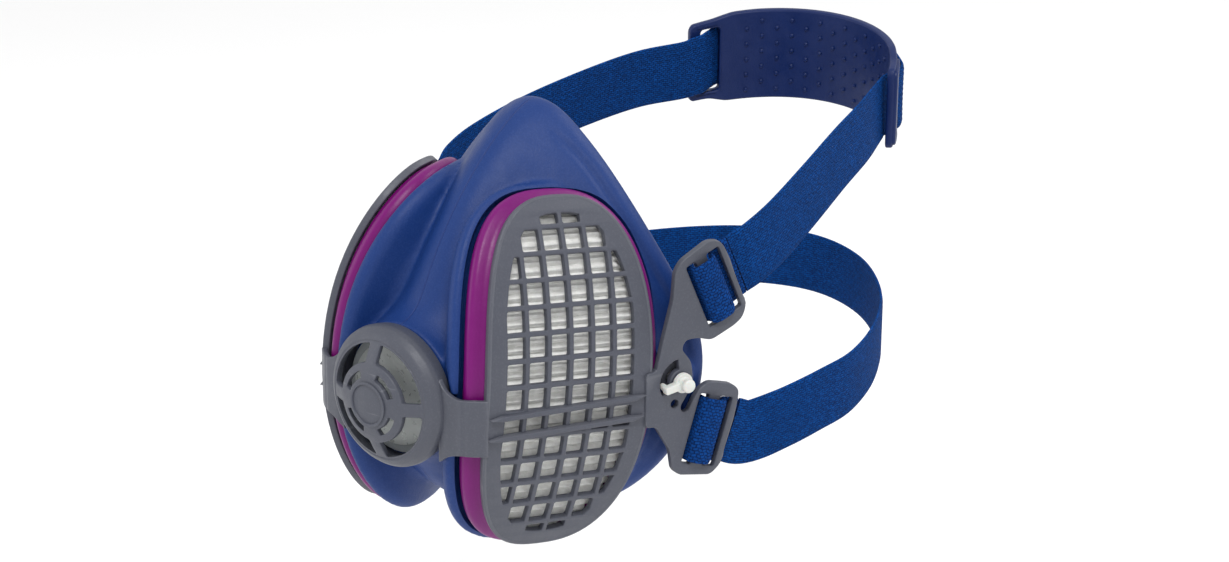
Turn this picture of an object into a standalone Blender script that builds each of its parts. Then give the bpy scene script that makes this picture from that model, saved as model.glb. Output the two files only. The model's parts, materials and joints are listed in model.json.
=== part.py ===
"""Half-mask respirator: a soft facepiece, two curved pleated filters under hinged grid covers, a grille
over the exhalation valve, and two elastic straps with a head cradle.

Lengths are in millimetres from the centre of the valve cover's front face, with -Y to the front and +Z up.
add_piece turns them into metres and puts the object's origin at the centre of the face seal.
"""

import math

import bmesh
import bpy
from mathutils import Matrix, Vector

# Driving dimensions
SEAL_CENTRE = Vector((0, 68, 12))
WEB = 20.0  # strap width
WEB_THICK = 1.4
GAP = 0.3
FLEX_SLOT = 0.6  # between the two halves of a living hinge

FILTER_CENTRE = Vector((42, 35, 5.5))  # outer face of the right grid cover
FILTER_TOE = 20.0  # degrees that the filter's normal turns forward from +X
FILTER_LEAN = 4.5  # degrees that it looks up
FILTER_TILT = 5.4  # degrees that the filter's top leans back
FILTER_RADIUS = 100.0  # bend of the filter about its own short axis
OVAL_W = 27.0  # half width of the grid cover
OVAL_H = 55.0  # half height, along the bend
OVAL_POWER = 2.6
OVAL_POINTS = 32
COVER_THICK = 2.2
GRID_PITCH_X = 7.1
GRID_PITCH_Y = 7.6
BEND_STEP = 2 * GRID_PITCH_Y
GRID_COLUMNS = 8
GRID_ROWS = 14
GRID_BAR = 1.4
GRID_BORDER = 5.6
GRID_RIBS = (-8.4, -14.6)  # heights of the two pointed ribs across the grid

# Depths below the cover's outer face
RIM_TOP = -2.6
RIM_FOOT = -10.2
RIM_BULGE = 4.0  # how far the filter's rim stands out past the cover's edge
LIP_TOP = -7.8  # front edge of the port round the filter
LIP_OUT = 7.6
PAN_MOUTH = 4.6  # the port is this much wider than the cover, down to the step
PAN_STEP = -10.3
PAN_WALL = 2.5
BASE_TOP = -10.5
BASE_FOOT = -12.5
PAN_FLOOR = -12.9
PAN_BACK = -16.2
SPIGOT = 11.0
SEAT_BORE = 11.3
SEAT_COUNTERBORE = 13.6
SEAT_OUTER = 15.7
SEAT_FRONT = -14.4
SEAT_BACK = -19.5
SEAT_STEP = -17.0

BAND_LOW = -12.0
BAND_HIGH = 5.0
BAND_THICK = 1.6
HINGE = Vector((24.1, 4.3, 0))  # axis of the right wing's living hinge, parallel to Z

COVER_DOME = 5.5  # how far the valve cover's centre stands in front of its rim
COVER_RIM = 18.0
SPIDER_ARM = 4.0  # width of the valve cover's four arms

YOKE_START = Vector((52.2, 60.2, 0))
YOKE_TOE = 18.0
YOKE_THICK = 2.2
PIN_AT = (9.0, -0.5)  # in the yoke's own plane: back from its start, and up
PIN_SLOT_RADIUS = 5.5
ANCHOR_RADIUS = 5.0
PIN_RADIUS = 2.0
PIN_NUB_ANGLE = 190.0
PIN_TURN = 75.0
UPPER_BAR = (19.5, 26.5, 23.6)  # back, up, and degrees that the strap leaves above level
LOWER_BAR = (18.0, -17.5, -17.4)
BAR_HALF = 2.0
WINDOW_FORE = 5.4
WINDOW_AFT = 6.6
WINDOW_LENGTH = 21.6

CRADLE_RADIUS = 45.0
CRADLE_CENTRE = Vector((0, 170.5, 0))
CRADLE_Z = 56.5
CRADLE_SLOPE = 0.16  # rise of the upper strap's loop per millimetre back
CRADLE_THICK = 2.4
CRADLE_END = 51.0  # half length of the cradle along its bend
CRADLE_SLOT = (40.4, 47.2)
NECK_Z = -18.5
NECK_SLOPE = 0.07

COLOURS = {
    "facepiece_silicone": ((0.045, 0.085, 0.33), 0.5),
    "harness_grey": ((0.17, 0.18, 0.21), 0.5),
    "filter_magenta": ((0.30, 0.02, 0.26), 0.42),
    "filter_media": ((0.72, 0.72, 0.68), 0.9),
    "filter_white": ((0.75, 0.75, 0.73), 0.5),
    "clear_polycarbonate": ((0.75, 0.80, 0.82), 0.15),
    "flap_silicone": ((0.55, 0.57, 0.58), 0.45),
    "pin_nylon": ((0.78, 0.79, 0.75), 0.4),
    "strap_elastic": ((0.02, 0.085, 0.30), 0.85),
    "cradle_plastic": ((0.025, 0.05, 0.20), 0.45),
    "seal_rubber": ((0.03, 0.03, 0.035), 0.6),
}


# ---- scene and materials


def clear_scene():
    for obj in list(bpy.data.objects):
        bpy.data.objects.remove(obj)


def make_collection(name):
    collection = bpy.data.collections.new(name)
    bpy.context.scene.collection.children.link(collection)
    return collection


def make_material(name):
    colour, roughness = COLOURS[name]
    material = bpy.data.materials.new(name)
    material.use_nodes = True
    shader = material.node_tree.nodes["Principled BSDF"]
    shader.inputs["Base Color"].default_value = (*colour, 1)
    shader.inputs["Roughness"].default_value = roughness
    shader.inputs["Metallic"].default_value = 0.0
    if name == "clear_polycarbonate":
        shader.inputs["Transmission Weight"].default_value = 0.8
    return material


# ---- modelling helpers: each makes or changes a bmesh in millimetres


def object_of(bm, name="work"):
    mesh = bpy.data.meshes.new(name)
    bm.to_mesh(mesh)
    bm.free()
    obj = bpy.data.objects.new(name, mesh)
    bpy.context.scene.collection.objects.link(obj)
    return obj


def baked(obj, *helpers):
    """The evaluated mesh of a work object as a bmesh; the objects are removed."""
    bpy.context.view_layer.update()
    graph = bpy.context.evaluated_depsgraph_get()
    mesh = bpy.data.meshes.new_from_object(obj.evaluated_get(graph))
    bm = bmesh.new()
    bm.from_mesh(mesh)
    bpy.data.meshes.remove(mesh)
    for used in (obj, *helpers):
        bpy.data.objects.remove(used)
    return bm


def combine(bm, other, operation, solver="EXACT"):
    """A Boolean of two bmeshes. Both are used up."""
    for part in (bm, other):
        bmesh.ops.triangulate(part, faces=part.faces)
    obj, tool = object_of(bm), object_of(other, "tool")
    modifier = obj.modifiers.new("combine", "BOOLEAN")
    modifier.operation = operation
    modifier.solver = solver
    modifier.object = tool
    return baked(obj, tool)


def cut(bm, other, solver="EXACT"):
    return combine(bm, other, "DIFFERENCE", solver)


def join(bm, other, solver="EXACT"):
    return combine(bm, other, "UNION", solver)


def thinned(bm, share):
    """The same shape with this share of its triangles."""
    obj = object_of(bm)
    modifier = obj.modifiers.new("thin", "DECIMATE")
    modifier.ratio = share
    return baked(obj)


def turned(profile, steps=20):
    """A closed profile of (radius, height) points turned about the local Z axis."""
    bm = bmesh.new()
    points = [bm.verts.new((radius, 0, height)) for radius, height in profile]
    edges = [
        bm.edges.new(pair)
        for pair in zip(points, points[1:] + points[:1])
        if max(pair[0].co.x, pair[1].co.x) > 0
    ]
    turn = {"cent": (0, 0, 0), "axis": (0, 0, 1), "angle": 2 * math.pi, "use_merge": True}
    bmesh.ops.spin(bm, geom=points + edges, steps=steps, **turn)
    bmesh.ops.remove_doubles(bm, verts=bm.verts, dist=1e-4)
    bmesh.ops.recalc_face_normals(bm, faces=bm.faces)
    return bm


def disc(radius, low, high, steps=20):
    return turned([(0, high), (radius, high), (radius, low), (0, low)], steps)


def tube(outer, inner, low, high, steps=20):
    return turned([(outer, high), (outer, low), (inner, low), (inner, high)], steps)


def prism(outline, low, high):
    """A flat outline in XY given thickness along Z."""
    bm = bmesh.new()
    face = bm.faces.new([bm.verts.new((x, y, low)) for x, y in outline])
    raised = bmesh.ops.extrude_face_region(bm, geom=[face])["geom"]
    lift = [part for part in raised if isinstance(part, bmesh.types.BMVert)]
    bmesh.ops.translate(bm, verts=lift, vec=(0, 0, high - low))
    bmesh.ops.recalc_face_normals(bm, faces=bm.faces)
    return bm


def box(x0, x1, y0, y1, low, high):
    return prism([(x0, y0), (x1, y0), (x1, y1), (x0, y1)], low, high)


def oval(grow=0.0, count=OVAL_POINTS):
    """The filter's outline, a rounded oval, with every side moved out by grow."""
    points = []
    for i in range(count):
        angle = 2 * math.pi * i / count
        c, s = math.cos(angle), math.sin(angle)
        x = math.copysign(abs(c) ** (2 / OVAL_POWER), c) * (OVAL_W + grow)
        y = math.copysign(abs(s) ** (2 / OVAL_POWER), s) * (OVAL_H + grow)
        points.append((x, y))
    return points


def oval_ring(profile):
    """A closed profile of (grow, height) points carried round the oval."""
    bm = bmesh.new()
    rows = [[bm.verts.new((x, y, height)) for x, y in oval(grow)] for grow, height in profile]
    for row, following in zip(rows, rows[1:] + rows[:1]):
        for i in range(OVAL_POINTS):
            j = (i + 1) % OVAL_POINTS
            bm.faces.new((row[i], row[j], following[j], following[i]))
    bmesh.ops.recalc_face_normals(bm, faces=bm.faces)
    return bm


def sliced(bm, normal, stations):
    """Adds edges where planes at these distances along a direction cross the mesh."""
    for station in stations:
        geometry = bm.verts[:] + bm.edges[:] + bm.faces[:]
        place = Vector(normal) * station
        bmesh.ops.bisect_plane(bm, geom=geometry, plane_co=place, plane_no=normal, dist=1e-4)
    return bm


def on_bend(station):
    """Where a point of the outer face at this height lands once bent: its height and its depth."""
    angle = station / FILTER_RADIUS
    return FILTER_RADIUS * math.sin(angle), FILTER_RADIUS * (math.cos(angle) - 1), angle


def bend(bm):
    """Slices a flat piece across Y at even stations, then bends it so that both ends go back.

    Between two stations it stays flat, so that nested pieces keep the same gap all the way.
    """
    last = math.ceil((OVAL_H + LIP_OUT) / BEND_STEP)
    sliced(bm, (0, 1, 0), [i * BEND_STEP for i in range(-last, last + 1)])
    for vert in bm.verts:
        x, y, z = vert.co
        low = math.floor(y / BEND_STEP + 1e-4)
        share = y / BEND_STEP - low
        rows = []
        for station in (low * BEND_STEP, (low + 1) * BEND_STEP):
            height, depth, angle = on_bend(station)
            rows.append(Vector((x, height + z * math.sin(angle), depth + z * math.cos(angle))))
        vert.co = rows[0].lerp(rows[1], share)
    return bm


def moved(bm, matrix):
    bmesh.ops.transform(bm, matrix=matrix, verts=bm.verts)
    return bm


def frame_matrix(origin, x_axis, y_axis):
    x_axis, y_axis = x_axis.normalized(), y_axis.normalized()
    matrix = Matrix((x_axis, y_axis, x_axis.cross(y_axis))).transposed().to_4x4()
    matrix.translation = origin
    return matrix


def smooth_path(points, steps=2):
    """Points on a Catmull-Rom curve through the given ones."""
    ends = [points[0] * 2 - points[1], *points, points[-1] * 2 - points[-2]]
    path = []
    for a, b, c, d in zip(ends, ends[1:], ends[2:], ends[3:]):
        for i in range(steps):
            t = i / steps
            straight = 2 * b + (c - a) * t
            curl = (2 * a - 5 * b + 4 * c - d) * t**2 + (3 * b - a - 3 * c + d) * t**3
            path.append(0.5 * (straight + curl))
    return [*path, points[-1]]


def ribbon(path, ups, thick=WEB_THICK, width=WEB):
    """A flat strap along a path: ups gives its width direction at each point."""
    bm = bmesh.new()
    rings = []
    for i, (point, up) in enumerate(zip(path, ups)):
        ahead = path[min(i + 1, len(path) - 1)] - path[max(i - 1, 0)]
        across = (up - ahead * up.dot(ahead) / ahead.length_squared).normalized() * width / 2
        out = across.cross(ahead).normalized() * thick / 2
        corners = ((1, 1), (1, -1), (-1, -1), (-1, 1))
        rings.append([bm.verts.new(point + across * a + out * b) for a, b in corners])
    for ring, following in zip(rings, rings[1:]):
        for i in range(4):
            j = (i + 1) % 4
            bm.faces.new((ring[i], ring[j], following[j], following[i]))
    bm.faces.new(rings[0])
    bm.faces.new(rings[-1])
    bmesh.ops.recalc_face_normals(bm, faces=bm.faces)
    return bm


# ---- frames of the right-hand side


def valve_frame():
    return frame_matrix(Vector((0, 0, 0)), Vector((1, 0, 0)), Vector((0, 0, 1)))


def filter_frame():
    toe, lean, tilt = (math.radians(a) for a in (FILTER_TOE, FILTER_LEAN, FILTER_TILT))
    normal = Vector((math.cos(toe) * math.cos(lean), -math.sin(toe) * math.cos(lean), math.sin(lean)))
    back = Vector((math.sin(toe), math.cos(toe), 0))
    up = normal.cross(back)
    along = back * math.cos(tilt) - up * math.sin(tilt)
    return frame_matrix(FILTER_CENTRE, along, up * math.cos(tilt) + back * math.sin(tilt))


def yoke_frame():
    toe = math.radians(YOKE_TOE)
    return frame_matrix(YOKE_START, Vector((math.sin(toe), math.cos(toe), 0)), Vector((0, 0, 1)))


def bar_frame(bar):
    """X leaves along the strap, Y lies along the bar, Z points out of the yoke."""
    back, up, rise = bar
    return yoke_frame() @ Matrix.Translation((back, up, 0)) @ Matrix.Rotation(math.radians(rise), 4, "Z")


def pin_frame():
    return yoke_frame() @ Matrix.Translation((*PIN_AT, 0))


# ---- facepiece

# Half outlines from the nose bridge round to the chin, front to back. Each row is one ring of the shell.
SHELL_RINGS = (
    ((0, 9, 20.5), (4, 9, 20.1), (8, 9, 18.9), (13.2, 9, 15.7), (17.8, 9, 10.3), (20.2, 9, 3.6),
     (20.2, 9, -3.6), (17.8, 9, -10.3), (13.2, 9, -15.7), (7, 9, -19.3), (0, 9, -20.5)),
    ((0, 16, 22.5), (4.6, 16.4, 22.2), (9.5, 17.5, 20.5), (15, 18.5, 16.8), (20, 19.5, 11), (22, 20.5, 4),
     (22, 20.5, -4), (20, 19.5, -11), (15, 17.5, -17.5), (8, 16, -22.5), (0, 15, -25)),
    ((0, 21.5, 36), (4.8, 22, 35.4), (9.5, 25, 34), (17, 31, 31), (23, 36, 24), (26, 38, 14),
     (27, 39, 2), (26, 38, -10), (23, 33, -22), (13, 24, -31), (0, 20, -34)),
    ((0, 33.5, 53.5), (5, 34.3, 52.8), (10.5, 39.5, 50), (19.5, 46, 45.5), (28, 51, 36.5), (33.5, 54, 22),
     (36, 56, 4), (35, 54, -12), (31, 48, -27), (17, 36, -38), (0, 30, -42)),
    ((0, 50, 69), (5.2, 51, 68), (11, 54.5, 64.5), (21.5, 59, 55.5), (32, 62, 43.5), (40, 67, 27),
     (45.5, 71, 7), (44, 68, -13), (38, 61, -30), (22, 51, -43), (0, 44, -48)),
    ((0, 63.5, 76.5), (5.5, 64.5, 75.6), (12, 66, 72), (22.5, 69, 62), (34.5, 70, 48.5), (44.5, 74, 31),
     (55, 80, 8.5), (53.5, 78, -14), (46, 71, -33), (28, 62, -48.5), (0, 56, -54)),
    ((0, 70, 76), (5.2, 71, 74.8), (10.5, 72, 71), (20.5, 74, 61), (32, 75.5, 47.5), (42, 80, 30.5),
     (53, 86, 8.5), (51.5, 84, -13), (44, 76, -31.5), (27, 67.5, -47), (0, 61, -52.5)),
    ((0, 74, 66), (3.2, 75.3, 65), (6.5, 76, 62.5), (14, 78, 53.5), (25, 79.5, 40.5), (34.5, 83, 26.5),
     (41.5, 87.5, 7), (40, 85, -10.5), (33.5, 78.5, -25), (20, 71, -37.5), (0, 65, -42)),
)
SHELL_THICK = 2.4
SHELL_SHARE = 0.4


def shell_surface():
    bm = bmesh.new()
    rings = []
    for half in SHELL_RINGS:
        left = [(-x, y, z) for x, y, z in reversed(half[1:-1])]
        rings.append([bm.verts.new(point) for point in (*half, *left)])
    count = len(rings[0])
    for ring, following in zip(rings, rings[1:]):
        for i in range(count):
            j = (i + 1) % count
            bm.faces.new((ring[i], following[i], following[j], ring[j]))
    bm.normal_update()
    top = max(bm.faces, key=lambda face: face.calc_center_median().z)
    if top.normal.z < 0:
        bmesh.ops.reverse_faces(bm, faces=bm.faces)
    return bm


# Outlines of the port's outer wall and of the space for the filter, as (grow, depth) from the back
FLANGE = ((-1.0, -25), (2.0, -18), (LIP_OUT, -11.5), (LIP_OUT - 0.6, LIP_TOP))
PAN = ((PAN_WALL, PAN_FLOOR), (PAN_WALL, PAN_STEP - 1.2), (PAN_MOUTH, PAN_STEP), (PAN_MOUTH, 12))


def tapered(rows):
    """A closed body between ovals of different sizes at different depths."""
    bm = bmesh.new()
    rings = [[bm.verts.new((x, y, depth)) for x, y in oval(grow)] for grow, depth in rows]
    for ring, following in zip(rings, rings[1:]):
        for i in range(OVAL_POINTS):
            j = (i + 1) % OVAL_POINTS
            bm.faces.new((ring[i], ring[j], following[j], following[i]))
    bm.faces.new(rings[0])
    bm.faces.new(rings[-1])
    bmesh.ops.recalc_face_normals(bm, faces=bm.faces)
    return bm


def facepiece():
    shell = object_of(shell_surface())
    subdivision = shell.modifiers.new("smooth", "SUBSURF")
    subdivision.levels = subdivision.render_levels = 1
    wall = shell.modifiers.new("wall", "SOLIDIFY")
    wall.thickness = SHELL_THICK
    wall.offset = -1
    body = thinned(baked(shell), SHELL_SHARE)
    flip = Matrix.Diagonal((-1, 1, 1, 1))

    def both(frame, make, operation):
        nonlocal body
        for placed in (frame, flip @ frame):
            tool = moved(make(), placed)
            bmesh.ops.recalc_face_normals(tool, faces=tool.faces)
            body = combine(body, tool, operation, "MANIFOLD")

    port, pin, valve = filter_frame(), pin_frame(), valve_frame()
    both(port, lambda: bend(tapered(FLANGE)), "UNION")
    both(port, lambda: bend(prism(oval(-6, 20), -48, PAN_BACK)), "DIFFERENCE")
    body = cut(body, moved(disc(22.3, -8.6, 20), valve), "MANIFOLD")
    body = join(body, moved(tube(20.8, 14.6, -14, -8.6), valve), "MANIFOLD")
    body = cut(body, moved(disc(15.2, -40, 5), valve), "MANIFOLD")
    both(port, lambda: disc(19.0, -19.4, -13.6), "UNION")
    both(pin, lambda: disc(7.6, -14, -3.6, 20), "UNION")
    both(port, lambda: bend(tapered(PAN)), "DIFFERENCE")
    both(port, lambda: disc(SEAT_OUTER + GAP, -40, 5), "DIFFERENCE")
    both(pin, lambda: disc(ANCHOR_RADIUS + GAP, -10.8, 5, 20), "DIFFERENCE")
    both(Matrix.Identity(4), lambda: prism(BAND_CLEARANCE, BAND_LOW - 0.6, BAND_HIGH + 0.6), "DIFFERENCE")
    return body


# ---- exhalation valve


def arc_slot(inner, outer, start, end, steps=6):
    """Outline of a slot between two radii, from one angle in degrees to another."""
    angles = [math.radians(start + (end - start) * i / steps) for i in range(steps + 1)]
    near = [(inner * math.cos(a), inner * math.sin(a)) for a in angles]
    far = [(outer * math.cos(a), outer * math.sin(a)) for a in reversed(angles)]
    return near + far


def arm_angle(radius):
    """Degrees from the middle of a spider arm to its edge, at this radius."""
    return math.degrees(math.asin(SPIDER_ARM / 2 / radius))


def arm_window(inner, outer, start, steps=6):
    """Outline of a window between two of the cover's straight-sided arms."""
    outline = []
    for radius, way in ((inner, 1), (outer, -1)):
        edge = arm_angle(radius)
        angles = [math.radians(start + edge + (90 - 2 * edge) * i / steps) for i in range(steps + 1)]
        outline += [(radius * math.cos(a), radius * math.sin(a)) for a in angles[::way]]
    return outline


def valve_cover():
    dome = [(0, COVER_DOME), (8, COVER_DOME - 0.4), (13, COVER_DOME - 2.6), (COVER_RIM, 0)]
    flank = [(19.6, -0.9), (21.0, -2.6), (21.3, -4.2), (20.6, -8.2), (18.9, -8.2), (19.2, -4.8), (17.2, -2.0)]
    inside = [(12.6, COVER_DOME - 4.8), (7.6, COVER_DOME - 2.6), (0, COVER_DOME - 2.2)]
    body = turned(dome + flank + inside, 32)
    for quarter in range(4):
        start = 90 * quarter
        body = cut(body, prism(arm_window(12.0, 16.8, start), -4, 8))
        body = cut(body, prism(arc_slot(7.7, 9.8, start + 20, start + 70, 4), -4, 8))
    body = moved(body, valve_frame())
    for side in (-1, 1):
        edge = sorted((side * 19.4, side * (HINGE.x - FLEX_SLOT / 2)))
        ear = box(*edge, HINGE.y, HINGE.y + BAND_THICK, BAND_LOW, BAND_HIGH)
        body = join(body, ear)
    return body


def exhalation_valve_seat():
    body = turned([(17.8, -6.2), (17.8, -8.2), (14.9, -8.2), (14.9, -12), (13, -12), (13, -6.2)])
    stem = [(0, -2.6), (2.6, -2.6), (2.6, -3.3), (1.6, -3.3), (1.6, -6.2), (3.5, -6.2), (3.5, -7.6)]
    body = join(body, turned([*stem, (0, -7.6)]))
    for i in range(4):
        turn = Matrix.Rotation(math.radians(45 * i + 10), 4, "Z")
        body = join(body, moved(box(-14, 14, -0.6, 0.6, -7.5, -6.3), turn))
    return moved(body, valve_frame())


def exhalation_flap():
    return moved(tube(15.2, 2.0, -5.8, -5.2), valve_frame())


# ---- filters


def grid_cells():
    """Cutters for all the openings of the grid, in one mesh."""
    cells = bmesh.new()
    half_x, half_y = (GRID_PITCH_X - GRID_BAR) / 2, (GRID_PITCH_Y - GRID_BAR) / 2
    for column in range(-GRID_COLUMNS // 2, GRID_COLUMNS // 2):
        for row in range(-GRID_ROWS // 2, GRID_ROWS // 2):
            x, y = (column + 0.5) * GRID_PITCH_X, (row + 0.5) * GRID_PITCH_Y
            cell = box(x - half_x, x + half_x, y - half_y, y + half_y, -4, 2)
            mesh = bpy.data.meshes.new("cell")
            cell.to_mesh(mesh)
            cell.free()
            cells.from_mesh(mesh)
            bpy.data.meshes.remove(mesh)
    return cells


def grid_cover():
    windows = combine(grid_cells(), prism(oval(-GRID_BORDER), -3, 1), "INTERSECT")
    body = cut(prism(oval(), -COVER_THICK, 0), windows)
    for height in GRID_RIBS:
        lower = [(-25.5, height - 0.2), (-22, height - 0.7), (21, height + 1.7), (24.5, height + 2.8)]
        rib = prism([*lower, (21, height + 3.1), (-22, height + 0.7)], -1.0, 1.3)
        body = join(body, rib)
    return moved(bend(body), filter_frame())


def filter_rim():
    neck = [(-3.4, RIM_TOP), (-0.6, RIM_TOP), (1.6, RIM_TOP - 0.8), (3.4, RIM_TOP - 1.8)]
    bead = [(RIM_BULGE, RIM_TOP - 3.2), (RIM_BULGE - 0.3, RIM_TOP - 5.2), (2.6, PAN_STEP + 1.0)]
    profile = [*neck, *bead, (2.1, RIM_FOOT), (-3.4, RIM_FOOT)]
    return moved(bend(oval_ring(profile)), filter_frame())


def filter_media():
    return moved(bend(prism(oval(-3.8), RIM_FOOT + 0.2, RIM_TOP - 0.6)), filter_frame())


def filter_base():
    body = bend(prism(oval(0.8), BASE_FOOT, BASE_TOP))
    body = join(body, disc(SPIGOT, -19, -11.5))
    body = cut(body, disc(9.0, -30, 5))
    return moved(body, filter_frame())


def spigot_seal():
    return moved(tube(13.3, SEAT_BORE, -16.7, -14.7), filter_frame())


def inhalation_seat():
    wall = [(SEAT_OUTER, SEAT_FRONT), (SEAT_OUTER, SEAT_BACK), (SEAT_BORE, SEAT_BACK), (SEAT_BORE, SEAT_STEP)]
    body = turned([*wall, (SEAT_COUNTERBORE, SEAT_STEP), (SEAT_COUNTERBORE, SEAT_FRONT)])
    body = join(body, tube(SEAT_OUTER, SEAT_BORE - 1.6, -20.6, SEAT_BACK + 0.2))
    stem = [(0, -19.4), (3, -19.4), (3, -20.6), (1.5, -20.6), (1.5, -23.4), (2.6, -23.4), (2.6, -24.2)]
    body = join(body, turned([*stem, (0, -24.2)]))
    for i in range(2):
        spoke = moved(box(-11, 11, -1, 1, -20.5, -19.5), Matrix.Rotation(math.radians(90 * i), 4, "Z"))
        body = join(body, spoke)
    return moved(body, filter_frame())


def inhalation_flap():
    return moved(tube(12.8, 1.9, -21.5, -20.9), filter_frame())


# ---- hinged wings

BAND_OUTER = ((HINGE.x + FLEX_SLOT / 2, HINGE.y), (27.3, 5.1), (33.4, 9.4))
BAND_INNER = ((30.6, 10.4), (29.0, 7.9), (27.0, 6.8), (HINGE.x + FLEX_SLOT / 2, HINGE.y + BAND_THICK))
BAND_CLEARANCE = ((15, 0), (30, 3), (36, 8), (32, 12.5), (29.5, 9.6), (27, 9.0), (15, 9.0))


def cover_clearance():
    return moved(bend(prism(oval(GAP), -8, 6)), filter_frame())


def hinge_band():
    return cut(prism(BAND_OUTER + BAND_INNER, BAND_LOW, BAND_HIGH), cover_clearance())


YOKE_OUTLINE = (
    (-3, 4), (0.5, 4), (3, 14), (6, 25), (6.6, 33.5), (8.8, 36.6), (17.6, 41.2), (21.4, 40.8), (23.4, 38.6),
    (31.6, 19.4), (30.4, 15.6), (27.6, 13.6), (19.5, 10.4), (14.5, 12), (10.5, 12), (9.2, 9.5), (12.6, 5),
    (13.2, 0), (12, -4), (9, -8.5), (9.8, -10.4), (11.6, -10.2), (15.5, -4), (19, -2.4), (27, -4.6),
    (29.6, -7), (29.4, -10), (23.5, -29.5), (20, -32.2), (9, -30), (6.6, -28), (5.6, -21.5), (0.5, -13),
    (-3, -13),
)


def strap_window(bar):
    """The two slots either side of a strap bar, as cutters."""
    slots = []
    for side in (-1, 1):
        near, far = sorted((side * BAR_HALF, WINDOW_AFT if side > 0 else -WINDOW_FORE))
        slot = box(near, far, -WINDOW_LENGTH / 2, WINDOW_LENGTH / 2, -6, 4)
        slots.append(moved(slot, bar_frame(bar)))
    return slots


def strap_yoke():
    body = moved(prism(YOKE_OUTLINE, -YOKE_THICK, 0), yoke_frame())
    body = cut(body, cover_clearance())
    for slot in (*strap_window(UPPER_BAR), *strap_window(LOWER_BAR)):
        body = cut(body, slot)
    pin = pin_frame()
    start, end = PIN_NUB_ANGLE - PIN_TURN - 17, PIN_NUB_ANGLE + 17
    body = cut(body, moved(disc(PIN_RADIUS + GAP, -6, 4), pin))
    track = prism(arc_slot(PIN_SLOT_RADIUS - 1.5, PIN_SLOT_RADIUS + 1.5, start, end), -6, 4)
    body = cut(body, moved(track, pin))
    return cut(body, moved(disc(1.2, -6, 4, 12), pin @ Matrix.Translation((-2.0, -6.6, 0))))


def lock_pin():
    head = [(0, 5.0), (1.7, 5.0), (PIN_RADIUS + 0.1, 4.5), (PIN_RADIUS + 0.1, 1.8), (3.0, 1.8), (3.0, 0.35)]
    body = turned([*head, (PIN_RADIUS, 0.35), (PIN_RADIUS, -8.6), (1.4, -9.2), (0, -9.2)], 16)
    angle = math.radians(PIN_NUB_ANGLE)
    arm = moved(box(1.0, PIN_SLOT_RADIUS + 1.1, -1.1, 1.1, 0.4, 2.6), Matrix.Rotation(angle, 4, "Z"))
    nub_at = Matrix.Translation((PIN_SLOT_RADIUS * math.cos(angle), PIN_SLOT_RADIUS * math.sin(angle), 0))
    body = join(join(body, arm), moved(disc(1.0, -2.0, 1.4, 10), nub_at))
    return moved(body, pin_frame())


def pin_anchor():
    inside = PIN_RADIUS + 1.1
    outside = [(ANCHOR_RADIUS, -3.4), (ANCHOR_RADIUS, -10.5), (0, -10.5)]
    return moved(turned([*outside, (0, -9.9), (inside, -9.9), (inside, -3.4)], 16), pin_frame())


# ---- straps and cradle

LOOP_PATH = ((-6.4, -3.3), (-4.4, -2.6), (-3.7, -1.0), (-3.5, 0.6), (-1.9, 1.7), (1.9, 1.7), (3.5, 0.6),
             (3.7, -1.0), (4.4, -2.6), (6.4, -3.3), (11.0, -3.5))


def strap_loop(bar):
    """The end of a strap, wrapped over its bar and doubled behind the yoke."""
    frame = bar_frame(bar)
    path = [frame @ Vector((x, 0, z)) for x, z in LOOP_PATH]
    up = frame.to_3x3() @ Vector((0, 1, 0))
    return ribbon(path, [up] * len(path))


def strap_start(bar):
    frame = bar_frame(bar)
    return [frame @ Vector((x, 0, -3.5)) for x in (12.4, 18)], frame.to_3x3() @ Vector((0, 1, 0))


def around(path):
    """A path from the right yoke to the middle of the back, carried on to the left yoke."""
    return path + [Vector((-p.x, p.y, p.z)) for p in reversed(path[:-1])]


def turning_ups(count, start, middle=Vector((0, 0, 1)), over=0.3):
    """Width directions that turn from the yoke's to the middle's within a share of the path."""
    ups = []
    for i in range(count):
        share = i / (count - 1)
        near = min(share, 1 - share) / over
        blend = min(near, 1.0)
        end = start if share < 0.5 else Vector((-start.x, start.y, start.z))
        ups.append((end * (1 - blend) + middle * blend).normalized())
    return ups


def on_cradle(angle, lift):
    """A point at an angle from the back, a distance outside the cradle's middle surface."""
    turn = math.radians(angle)
    radius = CRADLE_RADIUS + lift
    point = CRADLE_CENTRE + Vector((radius * math.sin(turn), radius * math.cos(turn), 0))
    point.z = CRADLE_Z + CRADLE_SLOPE * (point.y - CRADLE_CENTRE.y - CRADLE_RADIUS)
    return point


def upper_strap():
    start, up = strap_start(UPPER_BAR)
    inside = [(71, -3.4), (64, -3.1), (60, -2.4)]
    route = [*inside, (55.8, 0), (51.6, 2.4), (46, 3.0), (30, 3.0), (15, 3.0), (0, 3.0)]
    half = [*start, Vector((59.8, 107, 36.2)), Vector((56.0, 127, 41)), Vector((50.3, 150, 46)),
            Vector((45.2, 169, 49.6)), *(on_cradle(*stop) for stop in route)]
    path = smooth_path(around(half))
    return ribbon(path, turning_ups(len(path), up))


def neck_strap():
    start, up = strap_start(LOWER_BAR)
    plan = ((67.0, 121), (66.5, 138), (59, 160), (45, 182), (24, 200), (0, 207))
    level = [Vector((x, y, NECK_Z + NECK_SLOPE * (y - 121))) for x, y in plan]
    half = [*start, Vector((64.0, 106, NECK_Z - 2.5)), *level]
    path = smooth_path(around(half))
    return ribbon(path, turning_ups(len(path), up, over=0.2))


CRADLE_OUTLINE = (
    (-CRADLE_END, -11.5), (-50, -13), (-44, -13.2), (-38, -15), (38, -15), (44, -13.2), (50, -13),
    (CRADLE_END, -11.5), (CRADLE_END, 11.5), (50, 13), (43, 13.4), (36, 14.8), (28, 15), (-28, 15),
    (-36, 14.8), (-43, 13.4), (-50, 13), (-CRADLE_END, 11.5),
)


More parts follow.
